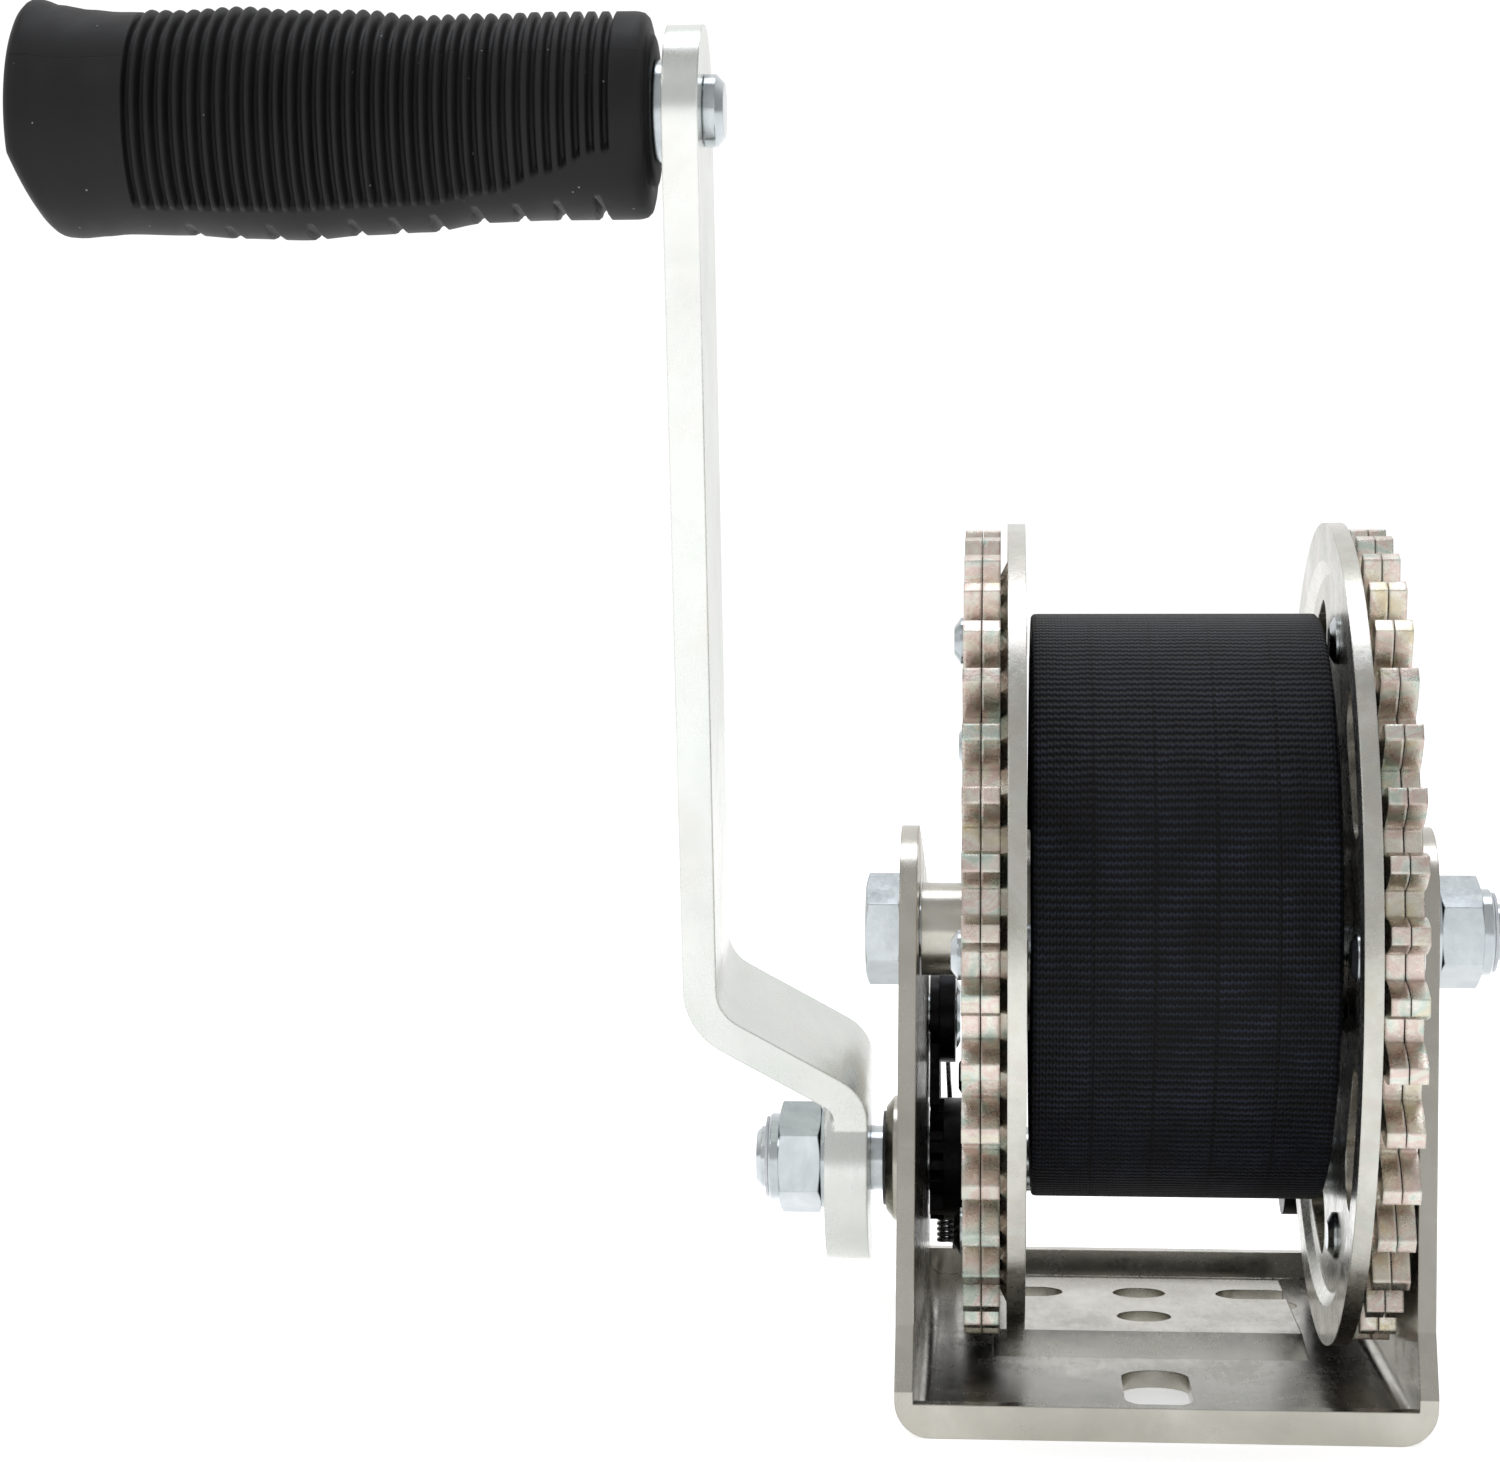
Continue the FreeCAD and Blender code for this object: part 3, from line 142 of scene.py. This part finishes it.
# Rolled sheet, clear zinc plated: warm grey, slightly streaked along the rolling direction.
frame_zinc = plated_steel(
    "clear_zinc_rolled_sheet", [(0.3, "#a9a69d"), (0.52, "#b7b4ab"), (0.72, "#c4c2b9")], 26,
    (0.18, 0.30), 0.04, 1.1, 0.03, lines=(1, 5, 1))
# Pressed flange, plated the same way, a little yellower and smoother.
flange_zinc = plated_steel(
    "clear_zinc_pressed_flange", [(0.3, "#b4b4ad"), (0.5, "#c3c3bc"), (0.72, "#d0d0ca")], 20,
    (0.18, 0.32), 0.05, 0.9, 0.03,
    tint={"size": 14, "share": 0.3,
          "stops": [(0.3, "#f3ecd8"), (0.45, "#ffffff"), (0.58, "#f4e2de"), (0.72, "#dff0ea")]})
# Blanked gear plate, zinc with a thin yellow passivate film: pink, green and straw patches.
gear_zinc = plated_steel(
    "iridescent_zinc_blanked_gear", [(0.3, "#bdbab0"), (0.5, "#d2d0c8"), (0.72, "#e4e2dc")], 8,
    (0.22, 0.38), 0.08, 0.55, 0.14, edge=0.7,
    tint={"size": 9, "share": 0.6,
          "stops": [(0.28, "#f3e2b4"), (0.4, "#fbf8ee"), (0.5, "#f2cfcc"), (0.57, "#fbf9f4"),
                    (0.66, "#c4e4de"), (0.76, "#efe0bc")]})
# Machined fastener and bar, bright zinc: cool white metal.
bright_zinc = plated_steel(
    "bright_zinc_fastener", [(0.3, "#a9b0b4"), (0.5, "#b9bfc2"), (0.72, "#c9ced0")], 12,
    (0.12, 0.24), 0.04, 0.8, 0.02)
# Cold-drawn flat bar, clear zinc: long faint scratches down its length.
bar_zinc = plated_steel(
    "clear_zinc_flat_bar", [(0.3, "#ced1cd"), (0.5, "#d6d8d4"), (0.72, "#dddfdb")], 30,
    (0.22, 0.30), 0.03, 0.7, 0.015, lines=(1, 1, 14), edge=0.6,
    tint={"size": 34, "share": 0.3, "stops": [(0.3, "#f8eeec"), (0.5, "#ffffff"), (0.7, "#edf5f0")]})
# Hard spring wire, bright drawn.
spring_steel = plated_steel(
    "bright_drawn_spring_wire", [(0.3, "#85868a"), (0.5, "#a3a4a6"), (0.72, "#bcbdbd")], 3,
    (0.22, 0.32), 0.03, 0.4, 0.01)


def black_oxide_steel():
    """Case-hardened steel, blackened: nearly black, oily sheen, rubbed paler on its high spots."""
    material, tree, shader = new_finish("black_oxide_steel", Metallic=0.85)
    where = local_mm(tree)
    patches = noise(tree, where, 3.2, 5.0, 0.6, 0.4)
    colour = add(tree, "ValToRGB", {"Fac": patches},
                 stops=[(0.3, "#121214"), (0.55, "#1e1e20"), (0.75, "#3a393a")])
    tree.links.new(colour.outputs["Color"], shader.inputs["Base Color"])
    tree.links.new(between(tree, patches, 0.28, 0.46), shader.inputs["Roughness"])
    fine = noise(tree, where, 0.4, 5.0)
    edge = add(tree, "Bevel", {"Radius": EDGE_ROUND * MM}, samples=4).outputs[0]
    bump = add(tree, "Bump", {"Height": fine, "Strength": 0.4, "Distance": 0.05 * MM, "Normal": edge})
    tree.links.new(bump.outputs[0], shader.inputs["Normal"])
    return material


def moulded_plastic(name, dark, pale, rough, coat=0.0):
    """Injection-moulded plastic: even colour, faint flow marks and a fine spark-eroded texture."""
    material, tree, shader = new_finish(name, Coat_Weight=coat, IOR=1.49)
    where = local_mm(tree)
    flow = noise(tree, where, 4.0, 3.0, 0.5, 0.8)
    colour = add(tree, "ValToRGB", {"Fac": flow}, stops=[(0.3, dark), (0.7, pale)])
    tree.links.new(colour.outputs["Color"], shader.inputs["Base Color"])
    tree.links.new(between(tree, flow, rough - 0.05, rough + 0.07), shader.inputs["Roughness"])
    bump = add(tree, "Bump", {"Height": noise(tree, where, 0.3), "Strength": 0.3, "Distance": 0.03 * MM})
    tree.links.new(bump.outputs[0], shader.inputs["Normal"])
    return material


pin_low, pin_high = (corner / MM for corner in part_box("grip_pin"))
GRIP_Y, GRIP_Z = (pin_low.y + pin_high.y) / 2, (pin_low.z + pin_high.z) / 2
PARTING_HEIGHT = GRIP_Z + 8.1  # how high above the frame's foot the grip's mould halves met, mm
PARTING_WANDER = 2.2           # how far that line strays up and down, mm
PARTING_HALF = 0.13            # half the width of its crease, mm
DUST_PITCH = 5.5               # one speck of dust in a cell this wide, mm
DUST_SIZE = 0.032              # radius of a speck, as a share of its cell


def moulded_rubber():
    """Moulded black rubber: matt, a soft grey bloom, a fine grain, a few pale specks of dust, and painted
    shade along its parting crease.
    """
    material, tree, shader = new_finish("moulded_black_rubber", IOR=1.52, Specular_IOR_Level=0.22,
                                        Sheen_Weight=0.02, Sheen_Roughness=0.5)
    where = local_mm(tree)
    bloom = noise(tree, where, 16.0, 5.0, 0.6, 0.5)
    colour = add(tree, "ValToRGB", {"Fac": bloom},
                 stops=[(0.3, "#0b0b0c"), (0.52, "#111112"), (0.75, "#181718")])
    specks = add(tree, "TexVoronoi", {"Vector": where, "Scale": 1 / DUST_PITCH, "Randomness": 1.0})
    dust = sums(tree, "LESS_THAN", specks.outputs["Distance"], DUST_SIZE)
    dusted = add(tree, "Mix", {"Factor": dust, "A": colour.outputs["Color"], "B": linear("#7b7a78")},
                 data_type="RGBA").outputs["Result"]
    tree.links.new(between(tree, bloom, 0.50, 0.66), shader.inputs["Roughness"])
    grain = noise(tree, where, 0.45, 6.0, 0.7)
    waves = noise(tree, where, 5.0, 2.0)
    height = sums(tree, "ADD", grain, sums(tree, "MULTIPLY", waves, 3.0))
    # The mould halves met at a level line above the pin; it wanders a little and shows as a torn crease,
    # cut in by the bump, with painted shade darkening its colour.
    level = add(tree, "SeparateXYZ", {"Vector": where}).outputs["Z"]
    wander = sums(tree, "MULTIPLY_ADD", noise(tree, where, 9.0, 3.0), PARTING_WANDER,
                  PARTING_HEIGHT - PARTING_WANDER / 2)
    off_line = sums(tree, "ABSOLUTE", sums(tree, "SUBTRACT", level, wander))
    crease = sums(tree, "LESS_THAN", off_line, PARTING_HALF)
    height = sums(tree, "MULTIPLY_ADD", crease, -9.0, height)
    # Painted shade: the crease's colour is darkened to near black, as if shade lay in it.
    crease_painted_shade = add(tree, "Mix", {"Factor": crease, "A": dusted, "B": linear("#040404")},
                  data_type="RGBA").outputs["Result"]
    tree.links.new(crease_painted_shade, shader.inputs["Base Color"])
    bump = add(tree, "Bump", {"Height": height, "Strength": 0.5, "Distance": 0.035 * MM})
    tree.links.new(bump.outputs[0], shader.inputs["Normal"])
    return material


RIB_PITCH = 1.35     # weft ribs across the strap, mm
WARP_PITCH = 0.55    # warp columns along the strap, mm
BINDER_PITCH = 10.0  # sunk binder threads along the strap, mm


def woven_polyester():
    """Woven polyester strap: fine ribs across, split into warp columns, with a blue-grey sheen, and painted
    highlight and shade in its colour that follow the weave.
    """
    material, tree, shader = new_finish("black_woven_polyester", IOR=1.5, Specular_IOR_Level=0.14,
                                        Sheen_Weight=0.03, Sheen_Roughness=0.4)
    shader.inputs["Sheen Tint"].default_value = linear("#8f97ad")
    lay = add(tree, "UVMap", uv_map="along_and_across").outputs["UV"]
    # The map holds millimetres along the strap, then across it.
    split = add(tree, "SeparateXYZ", {"Vector": lay})
    along, across = split.outputs["X"], split.outputs["Y"]
    drift = noise(tree, lay, 7.0, 3.0)
    # Each rib wanders a little, as woven yarn does.
    wander = sums(tree, "MULTIPLY_ADD", drift, 0.9, along)
    phase = sums(tree, "MULTIPLY", wander, 2 * math.pi / RIB_PITCH)
    rib = sums(tree, "SINE", phase)
    column = sums(tree, "SINE", sums(tree, "MULTIPLY", across, 2 * math.pi / WARP_PITCH))
    # Neighbouring columns sit half a rib apart, so the weave steps.
    step = sums(tree, "SINE", sums(tree, "MULTIPLY", across, math.pi / WARP_PITCH))
    stepped = sums(tree, "SINE", sums(tree, "MULTIPLY_ADD", step, 0.8, phase))
    cloth = sums(tree, "MULTIPLY_ADD", stepped, 0.6, sums(tree, "MULTIPLY", column, 0.28))
    cloth = sums(tree, "MULTIPLY_ADD", rib, 0.35, cloth)
    # A binder thread every centimetre is sunk into the weave and shows as a dotted dark line, through the
    # bump and through painted shade in the colour.
    place = sums(tree, "PINGPONG", sums(tree, "ADD", across, BINDER_PITCH / 2), BINDER_PITCH / 2)
    binder = sums(tree, "MULTIPLY", sums(tree, "LESS_THAN", place, 0.3),
                  sums(tree, "GREATER_THAN", rib, 0.1))
    height = sums(tree, "MULTIPLY_ADD", binder, -1.2, cloth)
    fuzz = noise(tree, lay, 0.35, 4.0, 0.7)
    height = sums(tree, "MULTIPLY_ADD", fuzz, 0.5, height)
    # Painted highlight and shade: the colour is lighter and bluer where the weave stands high and darker in
    # its hollows, plus random tone from the drift.
    painted_weave_shade_and_tone = sums(tree, "MULTIPLY_ADD", height, 0.24, sums(tree, "MULTIPLY_ADD", drift, 0.5, 0.2))
    colour = add(tree, "ValToRGB", {"Fac": painted_weave_shade_and_tone},
                 stops=[(0.2, "#000001"), (0.48, "#06070b"), (0.66, "#11131b"), (0.88, "#282c3a")])
    tree.links.new(colour.outputs["Color"], shader.inputs["Base Color"])
    tree.links.new(between(tree, fuzz, 0.44, 0.60), shader.inputs["Roughness"])
    bump = add(tree, "Bump", {"Height": height, "Strength": 0.8, "Distance": 0.12 * MM})
    tree.links.new(bump.outputs[0], shader.inputs["Normal"])
    return material


black_steel = black_oxide_steel()
rubber = moulded_rubber()
webbing = woven_polyester()
nylon = moulded_plastic("pale_nylon_insert", "#b9bdc4", "#d2d5da", 0.42)
black_plastic = moulded_plastic("black_acetal_ring", "#151517", "#202023", 0.38)

FINISHES = {"frame_zinc": frame_zinc, "flange_zinc": flange_zinc, "gear_zinc": gear_zinc,
            "bright_zinc": bright_zinc, "black_steel": black_steel, "spring_steel": spring_steel,
            "webbing": webbing, "grip_rubber": rubber, "nylon": nylon, "black_plastic": black_plastic}
SLOT_OF = {row["node"]: row["material_slot"] for row in frame["record"]["subparts"]}
for name, piece in frame["nodes"].items():
    finish = bar_zinc if name == "crank_arm" else FINISHES[SLOT_OF[name]]
    if not piece.material_slots:
        piece.data.materials.append(finish)
    for slot in piece.material_slots:
        slot.link = "OBJECT"
        slot.material = finish


# ---- Meshes ----

def mesh_piece(name, points, faces, finish):
    """A new smooth object from points in metres."""
    mesh = bpy.data.meshes.new(name)
    mesh.from_pydata(points, [], faces)
    mesh.validate()
    mesh.polygons.foreach_set("use_smooth", [True] * len(mesh.polygons))
    mesh.materials.append(finish)
    piece = bpy.data.objects.new(name, mesh)
    scene.collection.objects.link(piece)
    return piece


def rings_to_tube(rings, around, close_start=None, close_end=None):
    """Faces between neighbouring rings of points, and a fan to a middle point at either end."""
    faces = []
    for ring in range(rings - 1):
        for k in range(around):
            a, b = ring * around + k, ring * around + (k + 1) % around
            faces.append((a, b, b + around, a + around))
    if close_start is not None:
        faces += [((k + 1) % around, k, close_start) for k in range(around)]
    if close_end is not None:
        last = (rings - 1) * around
        faces += [(last + k, last + (k + 1) % around, close_end) for k in range(around)]
    return faces


def eased(value, low, high):
    """Smooth step from 0 at low to 1 at high."""
    t = min(max((value - low) / (high - low), 0.0), 1.0)
    return t * t * (3 - 2 * t)


def along_curve(value, stops):
    """A value read from pairs of place and size, eased between them."""
    for (x0, y0), (x1, y1) in zip(stops, stops[1:]):
        if value <= x1:
            return y0 + (y1 - y0) * eased(value, x0, x1)
    return stops[-1][1]


grip_low, grip_high = (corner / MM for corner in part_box("grip"))
GRIP_OUT, GRIP_LONG = grip_low.x, grip_high.x - grip_low.x

# The rubber's reach above the pin, below it and to each side, at places from the outer end, mm.
TOP_LINE = [(0, 20.8), (0.7, 21.4), (3, 21.2), (6.4, 20.1), (12, 19.2), (17.5, 18.7), (28.4, 18.4),
            (39, 18.9), (50, 18.1), (61, 18.0), (72, 16.8), (83, 17.1), (94, 17.6), (110, 17.5),
            (113.3, 16.8)]
LOW_LINE = [(0, 20.4), (1, 21.0), (6.4, 21.3), (12, 21.0), (17.5, 20.7), (28.4, 21.0), (39, 21.7),
            (50, 22.1), (61, 21.3), (72, 20.9), (83, 19.3), (94, 19.0), (110, 19.0), (113.3, 18.2)]
SIDE_LINE = [(0, 19.9), (1, 20.4), (6.4, 19.5), (16, 18.6), (36, 18.3), (50, 18.4), (72, 17.7),
             (90, 17.5), (106, 17.6), (113.3, 16.9)]
SLANT_BELOW = 8.4      # the outer end slants inward from this far under the pin, mm
SLANT = 0.35           # how steeply it slants
SLANT_LONG = 18        # how far along the grip the slant is felt, mm
RIB_FIRST = 21.3       # where the ribs start, mm from the outer end
RIB_STEP = 2.54        # from one rib to the next, mm
RIB_COUNT = 34
RIB_LAST = RIB_FIRST + RIB_STEP * RIB_COUNT
RIB_DEEP = 1.7         # depth of the grooves between the ribs, mm
RIB_PROUD = 0.5        # how far the ribs near the outer end stand proud, mm
BLOCK_FIRST = 30.2     # where the first notch between finger blocks is, mm from the outer end
BLOCK_STEP = 7.36      # from one notch to the next, mm
BLOCK_COUNT = 11
NOTCH_DEPTHS = [(30, 1.1), (54, 1.7), (86, 1.8), (97, 2.2), (105, 2.9)]
PANEL_EDGE = [(18, 146), (25, 150), (74, 150), (86, 146), (95, 134), (104, 122), (110, 118)]
END_CROWN = 0.36       # how far the outer end bulges, mm
END_ROUND = 3.0        # rounding of its edge, mm
SHOULDER_BACK = 2.6    # where the rounded shoulder at the inner end starts, mm from that end
SHOULDER_ROUND = 1.8
BORE_DEEP = 8.0        # where the bore stops, mm from the outer end
# The collar at the inner end: how far each ring lies from that end, and its radius, mm.
COLLAR = [(0.8, 14.0), (0.7, 13.7), (0.2, 13.5), (0.0, 13.1), (0.0, 11.0)]


def panel_edge(place):
    """How far round from straight up the ribs reach, in degrees, at a place along the grip."""
    return along_curve(place, PANEL_EDGE)


def grip_radius(place, turn):
    """Distance of the rubber from the pin, at a place from the outer end and a turn from straight up."""
    c, s = math.cos(turn), math.sin(turn)
    up = along_curve(place, TOP_LINE if c > 0 else LOW_LINE)
    side = along_curve(place, SIDE_LINE)
    radius = 1 / math.sqrt((c / up) ** 2 + (s / side) ** 2)
    # Ribs round the top and both sides.
    degrees = abs(math.degrees(math.atan2(s, c)))
    inside = eased(panel_edge(place) - degrees, -0.6, 1.6)
    if inside > 0 and RIB_FIRST < place < RIB_LAST:
        phase = ((place - RIB_FIRST) / RIB_STEP) % 1.0
        hollow = eased(phase, 0.0, 0.16) * (1 - eased(phase, 0.46, 0.64))
        proud = RIB_PROUD * math.sin(math.pi * (phase - 0.54) / 0.46) if phase > 0.54 else 0.0
        fade = 1 - eased(place, 79, 94)
        radius += inside * (proud * fade - RIB_DEEP * hollow)
    # Finger blocks underneath, parted by notches that cut straight across.
    for number in range(BLOCK_COUNT):
        notch = BLOCK_FIRST + BLOCK_STEP * number
        away = place - notch
        if -1.0 < away < 1.6:
            deep = along_curve(notch, NOTCH_DEPTHS)
            cut = eased(away, -1.0, -0.5) * (1 - eased(away, 0.4, 1.6))
            floor = along_curve(place, LOW_LINE) - deep * cut
            if c < 0:
                radius = min(radius, floor / -c)
    return radius


def grip_places():
    """Places along the grip, closer together where the ribs and notches are."""
    places = [3.2, 4.4, 5.8, 7.4, 9.2, 11, 12, 13.2, 14.6, 16, 17.6, 19.2, 20.6, 21.2]
    steps = RIB_COUNT * 12
    places += [RIB_FIRST + (RIB_LAST - RIB_FIRST) * k / steps for k in range(steps + 1)]
    places += [RIB_LAST + (GRIP_LONG - SHOULDER_BACK - RIB_LAST) * k / 4 for k in range(1, 5)]
    return places


def make_grip():
    """The moulded rubber grip: flared outer end, ribbed panel, finger blocks and a bore for its sleeve."""
    around = 224
    bore = (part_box("grip_sleeve")[1].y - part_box("grip_sleeve")[0].y) / 2 / MM + 0.02
    rings = []

    def ring(place, radius_of):
        row = []
        for k in range(around):
            turn = 2 * math.pi * k / around
            radius = radius_of(turn)
            up = math.cos(turn) * radius
            slant = SLANT * max(0.0, -SLANT_BELOW - up) * max(0.0, 1 - place / SLANT_LONG)
            row.append(((GRIP_OUT + place + slant) * MM, (GRIP_Y - math.sin(turn) * radius) * MM,
                        (GRIP_Z + up) * MM))
        rings.append(row)

    # The closed outer end is nearly flat, with a rounded edge.
    for share in (0.12, 0.3, 0.5, 0.68, 0.8):
        ring(END_CROWN * (share / 0.8) ** 4, lambda turn: share * grip_radius(0.0, turn))
    for angle in (20, 40, 60, 75):
        a = math.radians(angle)
        ring(END_CROWN + 2.6 * (1 - math.cos(a)),
             lambda turn: grip_radius(1.0, turn) - END_ROUND * (1 - math.sin(a)))
    for place in grip_places():
        ring(place, lambda turn: grip_radius(place, turn))
    # Rounded shoulder, a step down to the collar, then the bore.
    for angle in (30, 60, 90):
        a = math.radians(angle)
        ring(GRIP_LONG - SHOULDER_BACK + SHOULDER_ROUND * math.sin(a),
             lambda turn: grip_radius(GRIP_LONG - SHOULDER_BACK, turn) - SHOULDER_ROUND * (1 - math.cos(a)))
    for back, radius in COLLAR + [(0.0, bore + 0.5), (0.4, bore), (GRIP_LONG - BORE_DEEP, bore)]:
        ring(GRIP_LONG - back, lambda turn: radius)
    points = [point for row in rings for point in row]
    points += [(GRIP_OUT * MM, GRIP_Y * MM, GRIP_Z * MM),
               ((GRIP_OUT + BORE_DEEP) * MM, GRIP_Y * MM, GRIP_Z * MM)]
    faces = rings_to_tube(len(rings), around, len(points) - 2, len(points) - 1)
    return mesh_piece("ribbed_grip", points, faces, rubber)


grip = make_grip()
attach(grip, "grip")
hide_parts("grip")


strap_low, strap_high = (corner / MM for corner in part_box("strap_roll"))
tube_low, tube_high = (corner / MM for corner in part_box("hub_tube"))
AXLE_Z = (tube_low.z + tube_high.z) / 2
STRAP_LIFT = (strap_low.z + strap_high.z) / 2 - AXLE_Z + 1.4  # the loose outer turns ride up
STRAP_RADIUS = (strap_high.z - strap_low.z) / 2
core_low, core_high = (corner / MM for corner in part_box("drum_core"))
CORE_RADIUS = (core_high.z - core_low.z) / 2
STRAP_THICK = 1.0  # mm
STRAP_TURNS = 28
STRAP_SIDE_ROOM = 0.3  # what the strap is narrower by than its place, on each side, mm
STRAP_END_TURN = math.radians(215)  # the loose end lies behind and below, measured from straight in front


def make_strap():
    """About six metres of strap wound on the drum, one turn over the next, with slightly uneven edges."""
    per_turn = 120
    steps = STRAP_TURNS * per_turn
    half = (strap_high.x - strap_low.x) / 2 - 0.1
    middle = (strap_high.x + strap_low.x) / 2
    inner = CORE_RADIUS + 0.1
    pitch = (STRAP_RADIUS + 0.4 - STRAP_THICK - inner) / STRAP_TURNS
    # Across the strap: flat faces with rounded selvedges.
    across = [-1, -0.985, -0.96, -0.9, -0.6, -0.2, 0.2, 0.6, 0.9, 0.96, 0.985, 1]
    section = [(a, 0.5 * math.sqrt(max(0.0, 1 - max(0.0, (abs(a) - 0.97) / 0.03) ** 2))) for a in across]
    outline = [(a, t) for a, t in section] + [(a, -t) for a, t in reversed(section[1:-1])]
    points, lay = [], []
    length = 0.0
    for k in range(steps + 1):
        turn = STRAP_END_TURN + 2 * math.pi * k / per_turn
        out = inner + pitch * k / per_turn + STRAP_THICK / 2
        lift = STRAP_LIFT * (out - inner) / (STRAP_RADIUS - inner)
        sway = 0.16 * math.sin(turn * 0.37 + 1.1) + 0.12 * math.sin(turn * 1.71)
        for a, t in outline:
            radius = out + t * STRAP_THICK
            points.append(((middle + sway + a * (half - STRAP_SIDE_ROOM)) * MM,
                           -math.cos(turn) * radius * MM, (AXLE_Z + lift + math.sin(turn) * radius) * MM))
            lay.append((length, a * half))
        length += out * 2 * math.pi / per_turn
    around = len(outline)
    faces = rings_to_tube(steps + 1, around)
    faces.append(tuple(reversed(range(around))))
    faces.append(tuple(steps * around + j for j in range(around)))
    piece = mesh_piece("wound_strap", points, faces, webbing)
    layer = piece.data.uv_layers.new(name="along_and_across")
    for loop in piece.data.loops:
        layer.data[loop.index].uv = lay[loop.vertex_index]
    return piece


strap = make_strap()
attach(strap, "drum")
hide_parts("strap_roll")


# ---- Floor, lights and camera ----

def make_floor():
    """A wide pale floor under the base."""
    material, tree, shader = new_finish("pale_lit_table", Roughness=0.7, Emission_Strength=0.52)
    shader.inputs["Emission Color"].default_value = linear("#ffffff")
    speck = noise(tree, local_mm(tree), 120.0)
    colour = add(tree, "ValToRGB", {"Fac": speck}, stops=[(0.3, "#f6f6f6"), (0.7, "#fafafa")])
    tree.links.new(colour.outputs["Color"], shader.inputs["Base Color"])
    corners = [(x, y, -0.02 * MM) for x, y in ((-6, -6), (6, -6), (6, 6), (-6, 6))]
    floor = mesh_piece("floor", corners, [(0, 1, 2, 3)], material)


def soft_light(name, place, aim, size, watts, colour):
    """A square softbox pointed at a place."""
    lamp = bpy.data.lights.new(name, "AREA")
    lamp.shape = "RECTANGLE"
    lamp.size, lamp.size_y = size
    lamp.energy = watts
    lamp.color = linear(colour)[:3]
    holder = bpy.data.objects.new(name, lamp)
    holder.location = place
    holder.rotation_euler = (Vector(aim) - Vector(place)).to_track_quat("-Z", "Y").to_euler()
    scene.collection.objects.link(holder)


def make_studio():
    """Bright surroundings behind, softer in front and to the sides, with three softboxes."""
    world = bpy.data.worlds.new("studio")
    world.use_nodes = True
    tree = world.node_tree
    way = add(tree, "TexCoord").outputs["Generated"]
    split = add(tree, "SeparateXYZ", {"Vector": way})
    front = sums(tree, "MULTIPLY_ADD", split.outputs["Y"], 0.5, 0.5)
    glow = add(tree, "ValToRGB", {"Fac": front},
               stops=[(0.0, 0.66), (0.28, 0.58), (0.5, 0.42), (0.62, 0.62), (0.75, 1.0), (1.0, 1.0)])
    background = tree.nodes["Background"]
    tree.links.new(glow.outputs["Color"], background.inputs["Color"])
    background.inputs["Strength"].default_value = 1.05
    scene.world = world
    aim = (0.0, 0.02, 0.09)
    soft_light("key_softbox", (-0.75, -0.9, 1.05), aim, (0.5, 0.5), 3.2, "#ffffff")
    soft_light("fill_softbox", (0.95, -0.6, 0.45), aim, (0.35, 0.6), 0.9, "#fdfeff")
    soft_light("top_softbox", (0.0, 0.2, 1.3), aim, (0.8, 0.5), 4.5, "#f4f7ff")


CAMERA_PLACE = (-0.0262, -0.580, 0.1245)  # m
CAMERA_LENS = 79.2                        # focal length on a 36 mm wide sensor, mm
CAMERA_DIP = 1.06                         # how far it looks down, degrees
CAMERA_TURN = 4.38                        # how far it looks to the left, degrees


def make_camera():
    """A camera in front, a little left of the drum and above its axle."""
    data = bpy.data.cameras.new("front_camera")
    data.lens = CAMERA_LENS
    data.sensor_width = 36.0
    data.clip_start, data.clip_end = 0.01, 50.0
    holder = bpy.data.objects.new("front_camera", data)
    holder.location = CAMERA_PLACE
    holder.rotation_euler = Euler((math.radians(90 - CAMERA_DIP), 0.0, math.radians(CAMERA_TURN)))
    scene.collection.objects.link(holder)
    scene.camera = holder


make_floor()
make_studio()
make_camera()
scene.view_settings.view_transform = "Standard"
